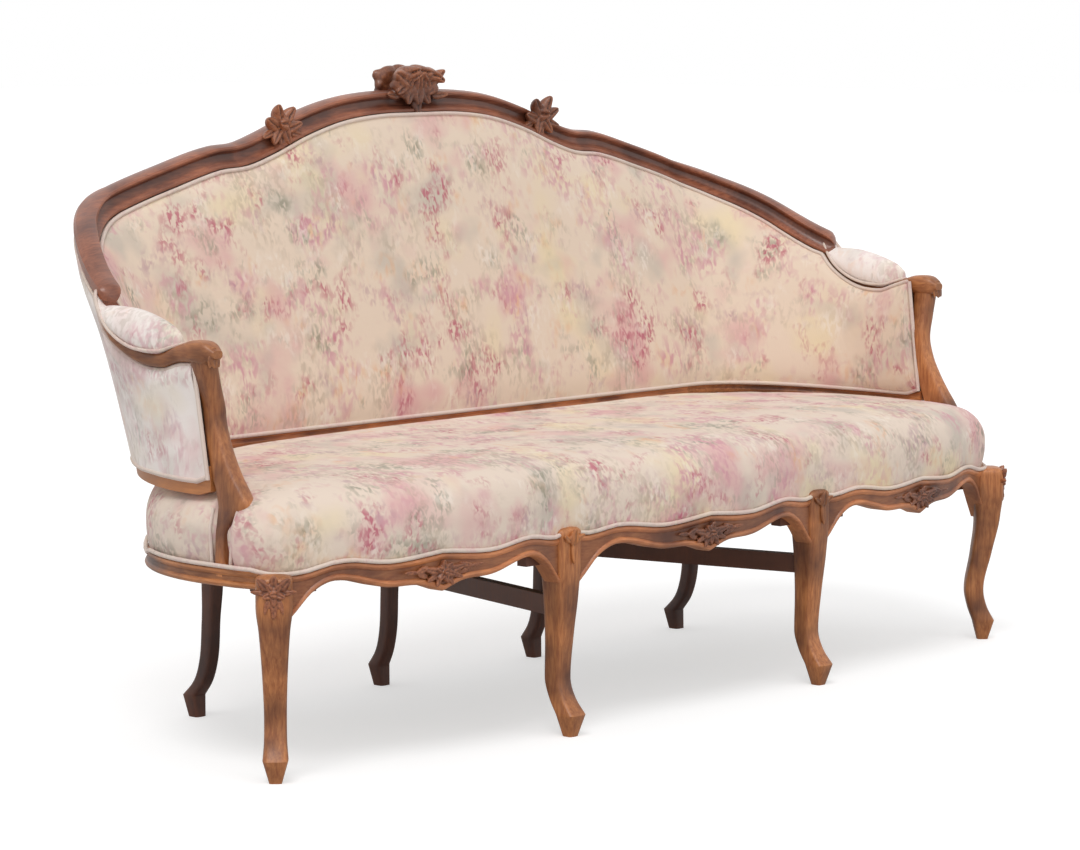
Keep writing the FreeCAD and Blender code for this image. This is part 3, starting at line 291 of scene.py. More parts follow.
def printed_cotton(name, stretch, cloth, fade=1.0):
    """Printed cotton rep: cream, with a watercolour print of roses and leaves in brush strokes."""
    material, tree, shader, place = new_material(name)
    colour = tint(cloth)
    brush = node(tree, "Mapping", {"Vector": place, "Scale": stretch})
    for code, patch_mm, stroke_mm, cover, strength, seed in PAINT:
        moved = node(tree, "Mapping", {
            "Vector": place, "Location": tuple(seed * step for step in PATCH_STEP)})
        patch = node(tree, "TexNoise", {
            "Vector": moved.outputs[0], "Scale": 1 / (patch_mm * MM), "Detail": 2.5, "Roughness": 0.6})
        low = 0.72 - 0.4 * cover
        mask = node(tree, "MapRange", {
            "Value": patch.outputs["Fac"], "From Min": low, "From Max": low + PATCH_EDGE,
            "To Max": strength * fade}).outputs[0]
        if stroke_mm:
            dabs = node(tree, "Mapping", {
                "Vector": brush.outputs[0], "Location": tuple(seed * step for step in STROKE_STEP)})
            stroke = node(tree, "TexNoise", {
                "Vector": dabs.outputs[0], "Scale": 1 / (stroke_mm * MM), "Detail": 1.5,
                "Distortion": 0.6})
            dab = node(tree, "MapRange", {
                "Value": stroke.outputs["Fac"], "From Min": 0.44, "From Max": 0.6})
            mask = node(tree, "Math", {0: mask, 1: dab.outputs[0]}, operation="MULTIPLY").outputs[0]
        colour = node(tree, "Mix", {"Factor": mask, MIX_A: colour, MIX_B: tint(code)},
                      data_type="RGBA").outputs[MIX_OUT]
    tree.links.new(colour, shader.inputs["Base Color"])
    # The real threads lie about 0.5 mm apart, and at 2 mm they show
    thread_mm, crumple_mm = 2, 50
    height = None
    for direction in ("X", "Z", "Y"):
        rows = node(tree, "TexWave", {
            "Vector": place, "Scale": WAVE_M / (thread_mm * MM), "Distortion": 0.8, "Detail": 1},
            bands_direction=direction).outputs["Fac"]
        if height is not None:
            rows = node(tree, "Math", {0: height, 1: rows}, operation="ADD").outputs[0]
        height = rows
    crumple = node(tree, "TexNoise", {"Vector": place, "Scale": 1 / (crumple_mm * MM), "Detail": 3})
    weave = node(tree, "Bump", {"Height": height, "Strength": 0.12, "Distance": 0.4 * MM})
    soft = node(tree, "Bump", {
        "Height": crumple.outputs["Fac"], "Strength": 0.35, "Distance": 3 * MM,
        "Normal": weave.outputs[0]})
    tree.links.new(soft.outputs[0], shader.inputs["Normal"])
    shader.inputs["Roughness"].default_value = 0.92
    shader.inputs["Sheen Weight"].default_value = 0.15
    shader.inputs["Specular IOR Level"].default_value = 0.2
    return material


def coarse_cloth(name, pale, deep, thread_mm):
    """Jute webbing or hessian: coarse threads, with painted shade in the gaps between them."""
    material, tree, shader, place = new_material(name)
    threads = [node(tree, "TexWave", {
        "Vector": place, "Scale": WAVE_M / (thread_mm * MM), "Distortion": 1.2},
        bands_direction=direction).outputs["Fac"] for direction in ("X", "Y")]
    woven = node(tree, "Math", {0: threads[0], 1: threads[1]}, operation="MULTIPLY")
    # Painted shade: the deep colour goes in the gaps between the threads
    colour = node(tree, "Mix", {
        "Factor": woven.outputs[0], MIX_A: tint(deep), MIX_B: tint(pale)}, data_type="RGBA")
    tree.links.new(colour.outputs[MIX_OUT], shader.inputs["Base Color"])
    relief = node(tree, "Bump", {"Height": woven.outputs[0], "Strength": 0.5, "Distance": 0.5 * MM})
    tree.links.new(relief.outputs[0], shader.inputs["Normal"])
    shader.inputs["Roughness"].default_value = 0.95
    return material


# How the grain and the brush strokes are drawn out along a piece
UPRIGHT = (1, 1, 0.12)
LEVEL = (0.12, 1, 1)
FORWARD = (1, 0.12, 1)
BEECH = ("#cf8850", "#945227", "#40190d")
beech_upright = stained_beech("stained_beech_upright", *BEECH, UPRIGHT)
# A lighter copy of the beech for the level rails: painted light that offsets the shade falling on their fronts
beech_level_painted_light = stained_beech("stained_beech_level_painted_light", "#e2955f", "#b2663b", "#512317", LEVEL)
beech_top = stained_beech("stained_beech_top", "#b06c4c", "#78402c", "#3c1711", LEVEL, 0.26)
beech_forward = stained_beech("stained_beech_forward", *BEECH, FORWARD)
carved_beech = stained_beech("carved_beech", "#b3704a", "#6e3822", "#3a1810", (1, 1, 1), 0.28)
# A darker copy of the beech: painted shade for the rear legs and the timber under the seat, which stand in
# shadow
dark_beech = stained_beech("dark_beech", "#6e3f28", "#4c281b", "#2e150d", UPRIGHT, 0.42)
print_upright = printed_cotton("printed_cotton_upright", (1, 1, 0.45), "#e5d1bd")
print_forward = printed_cotton("printed_cotton_forward", (1, 0.6, 0.6), "#e3d1c1")
print_outside = printed_cotton("printed_cotton_outside", (1, 1, 0.5), "#f4eae4", 0.6)
print_piping = printed_cotton("printed_cotton_piping", (1, 1, 1), "#dccbbf", 0.35)
jute = coarse_cloth("jute_webbing", "#b39a72", "#6b5739", 3)
hessian = coarse_cloth("hessian", "#a48c66", "#5b4a30", 2)

# Legs


def rounded_square(half, count=24, squareness=4.5):
    """Points round a square with soft corners."""
    points = []
    for index in range(count):
        turn = math.tau * (index + 0.5) / count
        u = math.copysign(abs(math.cos(turn)) ** (2 / squareness), math.cos(turn))
        v = math.copysign(abs(math.sin(turn)) ** (2 / squareness), math.sin(turn))
        points.append((half * u, half * v))
    return points


# Heights on a leg, and the dome on its head: its rise and how wide it still is
TOE, ANKLE, KNEE = 36, 95, 235
LEG_CAP = ((3, 0.93), (5.5, 0.8), (7, 0.6), (8, 0.3))


def leg_tables(widths, swings, top, block):
    """Curves of a leg's swing and width by height: foot, toe, instep, ankle, calf, knee and block."""
    heights = (0, TOE, mix(TOE, ANKLE, 0.4), ANKLE, mix(ANKLE, KNEE, 0.5), KNEE, mix(KNEE, top, 0.5), top)
    instep = (mix(swings[1], swings[2], 0.6), mix(widths[1], widths[2], 0.8))
    swings = (swings[0], swings[1], instep[0], swings[2], swings[3], swings[4], swings[4], swings[4])
    widths = (widths[0], widths[1], instep[1], widths[2], widths[3], widths[4], block, block)
    return list(zip(heights, swings)), list(zip(heights, widths)), top


def leg_rings(tables, place, heading, ridge=0.0, level_steps=46, cap=False):
    """Rings of a leg that swings out towards its heading, with a ridge down its front and a domed cap."""
    swings, widths, top = tables
    outer = Vector((math.cos(math.radians(heading)), math.sin(math.radians(heading)), 0))
    across = Vector((-outer.y, outer.x, 0))
    rings = []
    for share in [0] + steps(TOE * 0.5, TOE, 4) + steps(TOE + 4, top, level_steps):
        if share <= TOE:
            swing = mix(swings[0][1], swings[1][1], share / TOE)
            width = mix(widths[0][1], widths[1][1], share / TOE)
        else:
            swing = smooth(swings[1:], share)
            width = smooth(widths[1:], share)
        ring = []
        for u, v in rounded_square(width / 2):
            crease = ridge * max(0, 1 - abs(v) / (width * 0.2)) if u > 0 and share > TOE else 0
            ring.append(Vector((*place, share)) + outer * (swing + u + crease) + across * v)
        rings.append(ring)
    if cap:
        middle = Vector((*place, 0)) + outer * swing
        for rise, share in LEG_CAP:
            lift = Vector((0, 0, rise + (1 - share) * top))
            rings.append([middle + (point - middle) * share + lift for point in ring])
    return rings


# Widths at the ground, toe, ankle, calf and knee; how far ankle and knee stand out; head and its width
front_widths = (20, 40, 35, 39, 48)
corner_ankle, corner_knee, corner_head, corner_block = -17, 6, 317, 57
mid_ankle, mid_knee, mid_head, mid_block = -28, -21, 336, 54
corner_tables = leg_tables(
    front_widths, (0, 1, corner_ankle, mix(corner_ankle, corner_knee, 0.55), corner_knee), corner_head,
    corner_block)
mid_tables = leg_tables(
    front_widths, (0, 1, mid_ankle, mix(mid_ankle, mid_knee, 0.55), mid_knee), mid_head, mid_block)
both_sides(sweep("front_leg", leg_rings(corner_tables, FRONT_LEG, -45, 1.5, cap=True)), "carved_front_leg",
           beech_upright, ["front_leg"])
both_sides(sweep("mid_leg", leg_rings(mid_tables, FRONT_MID, -90, 3, cap=True)), "carved_middle_leg",
           beech_upright, ["front_leg_mid"])

# Height of the back's ridge between the arm and the arch, by share of the way out
RIDGE = [(0, 1), (0.11, 0.995), (0.21, 0.96), (0.31, 0.878), (0.4, 0.774), (0.46, 0.718), (0.525, 0.7),
         (0.645, 0.606), (0.765, 0.495), (0.847, 0.394), (0.923, 0.233), (0.98, 0)]


def ridge_height(x):
    return mix(JOINT_HEIGHT, ARCH, smooth(RIDGE, abs(x) / TOP_ARM_X))


for stem, post_x, kick in (("rear_leg", REAR_LEG_X, 40), ("rear_leg_mid", REAR_MID_X, 22)):
    tables = leg_tables((23, 31, 26, 26, 30), (kick, kick + 7, kick * 0.28, kick * 0.1, 0), LEDGE, 30)
    rings = leg_rings(tables, (post_x, POST_Y), 90, 0, 36)
    under = ridge_height(post_x) - RAIL_DEEP
    head_y = RIDGE_Y + (RAIL_THICK + REBATE - 3) / 2 - RAKE * RAIL_DEEP
    for post_y, height in ((LOW_Y + LOW_THICK / 2 + 4, LOW_Z + LOW_DEEP / 2), (head_y, under)):
        rings.append([Vector((post_x - v, post_y + u * 2 / 3, height)) for u, v in rounded_square(15)])
    both_sides(sweep(stem, rings), "turned_back_" + stem, dark_beech, [stem])

# Back rail: a moulding along the ridge, in three lengths


def outward(heading):
    return Vector((math.sin(math.radians(heading)), math.cos(math.radians(heading)), 0))


def turn_point(corner, arm_x, rear_y, turn, fullness=1.0):
    """Plan of the back at an angle of its turn, and the way it faces there; over 1 is a flatter corner."""
    reach_x = arm_x - corner[0]
    reach_y = rear_y - corner[1]
    angle = math.radians(turn)
    point = Vector((corner[0] + reach_x * math.sin(angle) ** fullness,
                    corner[1] + reach_y * max(math.cos(angle), 0) ** fullness, 0))
    return point, math.degrees(math.atan2(reach_y * math.sin(angle), reach_x * math.cos(angle)))


def set_off(point, heading, out, up):
    lean = RAKE * max(math.cos(math.radians(heading)), 0)
    return point + outward(heading) * (out + lean * up) + Vector((0, 0, up))


CORNER_FULLNESS = 1.2


def ridge_stations(start, end, last_turn=66):
    """Ridge points with their heading and turn, from X = start to the arm or to X = end."""
    flat_end = min(end, TOP_CORNER[0])
    stations = [(Vector((x, RIDGE_Y, ridge_height(x))), 0, 0) for x in steps(start, flat_end, 44)]
    if end > TOP_CORNER[0]:
        for turn in steps(3, last_turn, 20):
            point, heading = turn_point(TOP_CORNER, TOP_ARM_X, RIDGE_Y, turn, CORNER_FULLNESS)
            point.z = ridge_height(point.x)
            stations.append((point, heading, turn))
    return stations


def stretches(stations):
    results = []
    for index in range(len(stations)):
        before = stations[max(index - 1, 0)][0]
        after = stations[min(index + 1, len(stations) - 1)][0]
        run = math.hypot(after.x - before.x, after.y - before.y)
        results.append(math.hypot(1, (after.z - before.z) / run))
    return results


# Out and up from the ridge: a rolled top bead, a hollow, a second bead over the cover, and the rebate
RAIL_MOULDING = [
    (4, 0.5), (10, 2), (20, 2), (30, 0), (35, -4), (36, -10), (36, -18), (32, -19), (32, -RAIL_DEEP),
    (REBATE, -RAIL_DEEP), (REBATE, -SHOW), (3, -SHOW), (-1, -SHOW + 2), (-2, -SHOW + 6), (1, -SHOW + 9),
    (6, -SHOW + 13), (8, -SHOW / 2), (7, -14), (3, -10), (-1, -8), (-3, -5), (-2, -2), (1, -0.5)]


def rail_rings(stations):
    return [[set_off(point, heading, out, up * stretch) for out, up in RAIL_MOULDING]
            for (point, heading, _), stretch in zip(stations, stretches(stations))]


END_TURNS = [math.radians(angle) for angle in (20, 40, 58, 74, 84)]


def rounded_end(rings, reach):
    """Rings that close a sweep with a rounded end."""
    last = rings[-1]
    middle = sum(last, Vector()) / len(last)
    along = (middle - sum(rings[-2], Vector()) / len(last)).normalized()
    return [[point.lerp(middle, 1 - math.cos(turn)) + along * (reach * math.sin(turn)) for point in last]
            for turn in END_TURNS]


dress(sweep("moulded_top_rail_centre", rail_rings(ridge_stations(-JOINT_X, JOINT_X))), beech_top,
      ["top_rail_centre"], 30)
top_rings = rail_rings(ridge_stations(JOINT_X, TOP_ARM_X))
top_rings += rounded_end(top_rings, 18)
both_sides(sweep("top_rail", top_rings), "moulded_top_rail", beech_top, ["top_rail"], 30)

# Seat rails


def bow_y(bow, x):
    """Y at x of the circle through three points of plan."""
    (ax, ay), (bx, by), (cx, cy) = bow
    turn = 2 * (ax * (by - cy) + bx * (cy - ay) + cx * (ay - by))
    a, b, c = (ax * ax + ay * ay, bx * bx + by * by, cx * cx + cy * cy)
    ux = (a * (by - cy) + b * (cy - ay) + c * (ay - by)) / turn
    uy = (a * (cx - bx) + b * (ax - cx) + c * (bx - ax)) / turn
    return uy - math.sqrt((ax - ux) ** 2 + (ay - uy) ** 2 - (x - ux) ** 2)


MID_FACE = FRONT_MID[1] + 21 - RAIL / 2
CENTRE_BOW = [(-FRONT_MID[0], MID_FACE), (0, -FRONT_REACH), (FRONT_MID[0], MID_FACE)]
BAY_BOW = [(FRONT_MID[0], MID_FACE), (mix(FRONT_MID[0], FRONT_LEG[0], 0.5), MID_FACE - 4),
           (FRONT_LEG[0], FRONT_LEG[1] - 3)]
UPPER = [(0, RAIL_TOP + RAIL_WAVE), (0.06, RAIL_TOP + 2), (0.17, RAIL_TOP + RAIL_WAVE), (0.33, RAIL_TOP),
         (0.5, RAIL_TOP + 0.8 * RAIL_WAVE)]
LOWER = [(0, RAIL_BOTTOM - 60), (0.046, RAIL_BOTTOM - 32), (0.1, RAIL_BOTTOM + 2), (0.17, RAIL_BOTTOM + 18),
         (0.32, RAIL_BOTTOM), (0.43, RAIL_BOTTOM - 3), (0.5, RAIL_BOTTOM - 16)]
CORNER_DIP = 10


def front_top(x):
    """Height of the front rails' upper edge; it dips to the corner legs."""
    in_centre = abs(x) < FRONT_MID[0]
    start, end = (-FRONT_MID[0], FRONT_MID[0]) if in_centre else (FRONT_MID[0], FRONT_LEG[0])
    share = (abs(x) - start) / (end - start)
    dip = 0 if in_centre else smooth(((0.78, 0), (1, CORNER_DIP)), share)
    return smooth(UPPER, min(share, 1 - share)) - dip


def rail_ring(face, inward, top, bottom):
    """A bead along each edge of the show face, and the ledge behind."""
    return [face + inward * deep + Vector((0, 0, height)) for deep, height in (
        (2, bottom + 1), (-0.5, bottom + 3), (-1.5, bottom + 6), (-0.5, bottom + 9), (2, bottom + 11),
        (2.5, top - 11), (0, top - 8), (-1, top - 5), (0, top - 1.5), (3, top), (12, top), (12, LEDGE),
        (RAIL, LEDGE), (RAIL, bottom), (5, bottom))]


def front_rail(name, bow):
    rings = []
    for share in steps(0, 1, 72):
        x = mix(bow[0][0], bow[-1][0], share)
        near = min(share, 1 - share)
        rings.append(rail_ring(Vector((x, bow_y(bow, x), 0)), Vector((0, 1, 0)), front_top(x),
                               smooth(LOWER, near)))
    return sweep(name, rings)


dress(front_rail("carved_front_rail_centre", CENTRE_BOW), beech_level_painted_light,
      ["seat_rail_front_centre"], 30)
both_sides(front_rail("front_rail", BAY_BOW), "carved_front_rail", beech_level_painted_light,
           ["seat_rail_front"], 30)

side_rings = []
side_plan = [(Vector((FRONT_LEG[0] + 9, FRONT_LEG[1] + RAIL / 2 + 2, 0)), 90),
             (Vector((SIDE_X - 4, mix(FRONT_LEG[1], SIDE_CORNER[1], 0.5), 0)), 90)]
for turn in steps(90, 0, 40):
    side_plan.append(turn_point(SIDE_CORNER, SIDE_X, SIDE_REAR_Y, turn))
for point, heading in side_plan:
    side_rings.append(rail_ring(point, -outward(heading), SIDE_TOP, SIDE_TOP - SIDE_DEEP))
both_sides(sweep("side_rail", side_rings), "bowed_side_rail", beech_forward,
           ["seat_rail_side"], 30)

# Lower back rail and its wings


def low_ring(point, heading):
    lean = RAKE * LOW_DEEP * max(math.cos(math.radians(heading)), 0)
    return [point + outward(heading) * out + Vector((0, 0, LOW_Z + up)) for out, up in (
        (3, 0), (0, 3), (-1, 7), (1, 10), (1, LOW_SHOW - 6), (-1, LOW_SHOW - 3), (2, LOW_SHOW),
        (REBATE, LOW_SHOW), (REBATE + lean, LOW_DEEP), (LOW_THICK + lean, LOW_DEEP), (LOW_THICK, 0))]


for start, end in ((-REAR_MID_X, REAR_MID_X), (REAR_MID_X, REAR_LEG_X)):
    low_rail = sweep("lower_rail_centre", [low_ring(Vector((x, LOW_Y, 0)), 0) for x in steps(start, end, 2)])
    if start < 0:
        dress(low_rail, beech_level_painted_light, ["lower_back_rail_centre"], 30)
    else:
        both_sides(low_rail, "moulded_lower_rail", beech_level_painted_light, ["lower_back_rail"], 30)


def low_dip(turn):
    return LOW_DIP * math.sin(math.radians(turn)) ** 2


WING_END = Vector((LOW_ARM_X, ARM_FRONT + 20, -LOW_DIP / 2))
wing_rings = [low_ring(Vector((REAR_LEG_X, LOW_Y, 0)), 0)]
for turn in steps(0, 90, 30):
    point, heading = turn_point(LOW_CORNER, LOW_ARM_X, LOW_Y, turn)
    wing_rings.append(low_ring(point - Vector((0, 0, low_dip(turn))), heading))
wing_rings.append(low_ring(WING_END, 90))
both_sides(sweep("wing", wing_rings), "swept_wing_rail", beech_forward, ["wing_rail"], 30)

# Arms and their supports

# By share of the way forward: height of the arm's top, its depth and its width
ARM_TOP = [(0, JOINT_HEIGHT)]
ARM_TOP += [(share, mix(ARM_LOW, JOINT_HEIGHT, rise))
            for share, rise in ((0.12, 0.52), (0.25, 0.23), (0.41, 0.04))]
ARM_TOP += [(share, mix(ARM_LOW, ARM_HIGH, rise))
            for share, rise in ((0.57, 0), (0.72, 0.6), (0.84, 1), (0.94, 0.9))]
ARM_TOP.append((1, ARM_HIGH - 14))
ARM_DEPTH = ((0, SHOW + 4), (0.15, 29), (0.3, 26), (0.57, 26), (0.72, 28), (0.84, 35), (0.94, 34), (1, 12))
ARM_WIDTH = ((0, RAIL_THICK), (0.3, ARM_WIDE), (0.55, ARM_WIDE), (0.72, ARM_WIDE - 5), (0.85, ARM_WIDE),
             (0.95, ARM_WIDE - 8), (1, ARM_WIDE - 22))
# The arm's rear end is slimmer and further in, and grows out of the top rail
END_LENGTH, END_SLIM, END_IN = 0.16, 0.25, 9


def arm_top(y):
    return smooth(ARM_TOP, (ARM_JOINT - y) / (ARM_JOINT - ARM_FRONT))


def arm_under(y):
    return arm_top(y) - smooth(ARM_DEPTH, (ARM_JOINT - y) / (ARM_JOINT - ARM_FRONT))


arm_rings = []
for share in steps(0, 0.9, 44) + steps(0.915, 1, 8):
    y = mix(ARM_JOINT, ARM_FRONT, share)
    tucked = max(0, 1 - share / END_LENGTH)
    width = smooth(ARM_WIDTH, share) * (1 - END_SLIM * tucked)
    middle = (arm_top(y) + arm_under(y)) / 2
    tall = (arm_top(y) - arm_under(y)) / 2
    arm_rings.append([Vector((ARM_X - END_IN * tucked + width / 2 * u, y, middle + tall * v))
                      for u, v in rounded_square(1, 20, 3.2)])
middle = sum(arm_rings[0], Vector()) / len(arm_rings[0])
arm_nose = [[point.lerp(middle, shrink) + Vector((-0.45, 1, 0.6)) * back for point in arm_rings[0]]
            for back, shrink in ((24, 0.7), (16, 0.4), (8, 0.15))]
both_sides(sweep("arm", arm_nose + arm_rings), "dished_arm", beech_forward,
           ["arm_rail"], 50)

# Share of the support's height, where its front and rear edges lie, and how far it leans out
SUPPORT_FORM = (
    (0, -24, 1, -2), (0.11, -18, 3, -5), (0.18, -16, 6, -9), (0.26, -34, 9, -14), (0.31, -57, 11, -16),
    (0.37, -46, 15, -16), (0.43, -30, 23, -16), (0.52, -10, 31, -17), (0.61, 5, 37, -18),
    (0.71, 13, 42, -18), (0.83, 13, 47, -9), (0.94, 12, 53, -1), (1, 15, 57, 0))
support_rings = []
for share in steps(0, 1, 60):
    front, rear, shift = (smooth([(row[0], row[column]) for row in SUPPORT_FORM], share)
                          for column in (1, 2, 3))
    centre = Vector((ARM_X + shift, ARM_FRONT + (front + rear) / 2, mix(LEDGE, ARM_HIGH - 13, share)))
    support_rings.append([centre + Vector((16 * u, (rear - front) / 2 * v, 0))
                          for u, v in rounded_square(1, 24, 3.4)])
both_sides(sweep("support", support_rings), "swept_arm_support", beech_upright,
           ["arm_support"], 50)

# Seat


def front_y(x):
    return bow_y(CENTRE_BOW if abs(x) < FRONT_MID[0] else BAY_BOW, abs(x))


# Where the seat's front corner starts to turn, and how wide it turns
TURN_X, TURN_Y, TURN_WIDE = 880, -215, 52
CROWN_Y = 110


def seat_plan():
    """Plan of the seat, the right half from the middle of the front to the middle of the back."""
    half = [(x, front_y(x)) for x in steps(0, TURN_X, 44)]
    half += [(TURN_X + TURN_WIDE * math.sin(math.radians(turn)),
              TURN_Y + (front_y(TURN_X) - TURN_Y) * math.cos(math.radians(turn))) for turn in steps(15, 75, 4)]
    half += [(SIDE_X - 1, y) for y in steps(TURN_Y + 10, SIDE_CORNER[1] - 5, 20)]
    for turn in steps(90, 5, 17):
        half.append(tuple(turn_point(SIDE_CORNER, SIDE_X, SIDE_REAR_Y, turn)[0])[:2])
    return half + [(x, SIDE_REAR_Y + 4) for x in steps(SIDE_CORNER[0] - 10, 0, 20)]


def seat_ring(inset, height):
    """The crown lies well back, so that the seat stays high along the lower back rail."""
    narrow = 1 - 2 * inset / SIDE_X
    shallow = 1 - inset / (CROWN_Y + FRONT_REACH)
    ring = [Vector((x * narrow, CROWN_Y + (y - CROWN_Y) * shallow, height)) for x, y in seat_plan()]
    return ring + [Vector((-point.x, point.y, height)) for point in ring[-2:0:-1]]


def between(value, low, high):
    """0 up to the low value, 1 from the high one."""
    return min(max((value - low) / (high - low), 0), 1)


# How far the cushion draws in, by share of its height
SEAT_DOME = [(0, 6), (0.16, 2.5), (0.3, 1), (0.48, 1.5), (0.62, 6), (0.74, 14), (0.84, 28), (0.91, 52),
             (0.955, 90), (0.985, 140), (1, 200)]
seat_rings = [seat_ring(14, LEDGE + 4)]
for share in steps(0, 0.9, 24) + [0.92, 0.94, 0.955, 0.97, 0.98, 0.99, 0.997, 1]:
    seat_rings.append(seat_ring(smooth(SEAT_DOME, share), mix(LEDGE + 6, CROWN, share)))
for inset in (240, 280, 320, 360, 400, 435, 458):
    seat_rings.append(seat_ring(inset, CROWN))
# The cover is tucked in round the foot of each arm support
SUPPORT_FOOT = -159
TUCK_NEAR, TUCK_FAR, TUCK_DEEP, TUCK_X = 18, 32, 17, 860
# Fine folds run along the back of the top, and a slow swell over all of it
FOLD, FOLD_DRIFT, FINE_FOLD, FINE_DRIFT = 8, 170, 5, 90
SWELL_X, SWELL_Y = 110, 70
FOLD_HIGH, SWELL_HIGH = 0.9, 0.8
for ring in seat_rings:
    for point in ring:
        tuck = between(-abs(point.y - SUPPORT_FOOT), -TUCK_FAR, -TUCK_NEAR)
        if abs(point.x) > TUCK_X:
            point.x -= math.copysign(TUCK_DEEP * tuck * tuck * (3 - 2 * tuck), point.x)
        near_back = between(point.y, 10, 140)
        on_top = between(point.z, 400, 445)
        fold = math.sin(point.y / FOLD + 1.6 * math.sin(point.x / FOLD_DRIFT))
        fold += 0.6 * math.sin(point.y / FINE_FOLD + point.x / FINE_DRIFT)
        swell = SWELL_HIGH * math.sin(point.x / SWELL_X) * math.sin(point.y / SWELL_Y + 1)
        point.z += on_top * (near_back * fold * FOLD_HIGH + swell)
seat = sweep("seat_cushion", seat_rings)
dress(seat, print_forward, ["seat_cover", "seat_stuffing"], 60)

# Back pad, outside panels


# Columns of the edges: foot and head of the inside cover, of the outside cover, and the way they face
FOOT, HEAD, OUTER_FOOT, OUTER_HEAD, FOOT_FACES, HEAD_FACES = range(6)
WING_TURNS = ((0, 72), (0.3, 80), (0.65, 86), (1, 90))


def arm_heads(y):
    """Heads of the inside and of the outside cover under the arm."""
    inside_x = ARM_X - ARM_WIDE / 2 - REBATE
    return Vector((inside_x, y, arm_top(y) - 10)), Vector((ARM_X + 6, y, arm_under(y) - 0.5))


def back_edges():
    """Edges of the covers round the right half, from the middle of the back to the arm's front."""
    behind = LOW_THICK + RAKE * LOW_SHOW + 1
    stations = ridge_stations(0, TOP_ARM_X, 62)
    edges = []
    for (top, heading, turn), stretch in zip(stations, stretches(stations)):
        if turn:
            low, low_heading = turn_point(LOW_CORNER, LOW_ARM_X, LOW_Y, turn)
            low.z = -low_dip(turn)
        else:
            low = Vector((top.x / TOP_CORNER[0] * LOW_CORNER[0], LOW_Y, 0))
            low_heading = 0
        low.z += LOW_Z + LOW_SHOW
        head = set_off(top, heading, 0, -(SHOW + 3) * stretch)
        outer_head = set_off(top, heading, RAIL_THICK - REBATE / 2 + 0.5, -(SHOW / 2 + 3) * stretch)
        edges.append((low, head, low + outward(low_heading) * behind, outer_head, low_heading, heading))
    for share in steps(0, 1, 16):
        low, heading = turn_point(LOW_CORNER, LOW_ARM_X, LOW_Y, smooth(WING_TURNS, share))
        low.z = LOW_Z + LOW_SHOW - low_dip(90 if share > 0.6 else mix(72, 90, share / 0.6))
        head, outer_head = arm_heads(mix(ARM_JOINT - 20, ARM_FRONT + 62, share))
        edges.append((low, head, low + outward(heading) * (LOW_THICK + 1), outer_head, heading, 90))
    low = WING_END + Vector((0, 6, LOW_Z + LOW_SHOW))
    head, outer_head = arm_heads(ARM_FRONT + 50)
    edges.append((low, head, low + Vector((LOW_THICK + 1, 0, 0)), outer_head, 90, 90))
    return edges


EDGES = back_edges()


def back_rings(section, outside=False):
    """Sweeps a section of (share of the height, offset) pairs round both halves of the back."""
    right = []
    for inner_low, inner_top, outer_low, outer_top, low_heading, top_heading in EDGES:
        low, top = (outer_low, outer_top) if outside else (inner_low, inner_top)
        right.append([low + (top - low) * share + outward(mix(low_heading, top_heading, share)) * out
                      for share, out in section])
    left = [[Vector((-point.x, point.y, point.z)) for point in ring] for ring in right[:0:-1]]
    return left + right


# The pad's swell by share of its height, and its rise at most
BULGE = ((0.0, 0.0), (0.05, 0.42), (0.12, 0.7), (0.3, 0.95), (0.6, 1.0), (0.85, 0.75), (0.95, 0.4),
         (1.0, 0.0))
PAD_RISE = 20
pad_front = [(share, -PAD_RISE * smooth(BULGE, share) - 2) for share in steps(0, 1, 20)]
pad = back_rings(pad_front + [(1, 5), (0.5, 5), (0, 5)])
# Its ends draw in a little between their corners
for end, inner in ((0, 1), (-1, -2)):
    for index in range(2, 19):
        pad[end][index] = pad[end][index].lerp(pad[inner][index], 0.15)
dress(sweep("back_pad", pad), print_upright, ["back_cover", "back_stuffing"], 60)


def outside_bow(share):
    """The cover sags a little between the rails and bows out over the foot of the top rail."""
    return 7 * math.sin(math.pi * share ** 6) - 3 * math.sin(math.pi * share)


COVER_THICK = 2.5
outside_front = [(share, outside_bow(share)) for share in steps(0, 1, 20)]
outside_rear = [(share, COVER_THICK + outside_bow(share)) for share in steps(1, 0, 20)]
outside = sweep("outside_back_cover", back_rings(outside_front + outside_rear, True))
dress(outside, print_outside, ["back_outside_cover"], 60)

# Piping along the covers' edges


def round_trip(right):
    return [Vector((-point.x, point.y, point.z)) for point in right[:0:-1]] + right


def edge_line(column, heading_column, out, up):
    return [row[column] + outward(row[heading_column]) * out + Vector((0, 0, up)) for row in EDGES]


seat_line = []
for x, y in seat_plan()[:-22]:
    level = front_top(x)
    if x >= TURN_X:
        level = mix(front_top(TURN_X), SIDE_TOP, between(y, FRONT_LEG[1], FRONT_LEG[1] + 30))
    seat_line.append(Vector((x, y, level + 3.5)))
foot, head, outer_foot, outer_head = EDGES[-1][:4]
front_end = [mix(foot, head, share) + Vector((-3, -4, 0)) for share in steps(0, 1, 12)]
outside_end = [mix(outer_foot, outer_head, share) + Vector((3, -4, 0)) for share in steps(0, 1, 12)]
pipings = {
    "piping_seat": round_trip(seat_line),
    "piping_back_foot": round_trip(edge_line(FOOT, FOOT_FACES, -3, 2)),
    "piping_back_head": round_trip(edge_line(HEAD, HEAD_FACES, -3, 0)),
    "piping_outside_foot": round_trip(edge_line(OUTER_FOOT, FOOT_FACES, 2, 4)),
    "piping_outside_head": round_trip(edge_line(OUTER_HEAD, HEAD_FACES, 2, -3)),
}
PIPING, FINE_PIPING, PAD_PIPING = 3.6, 3, 2.8
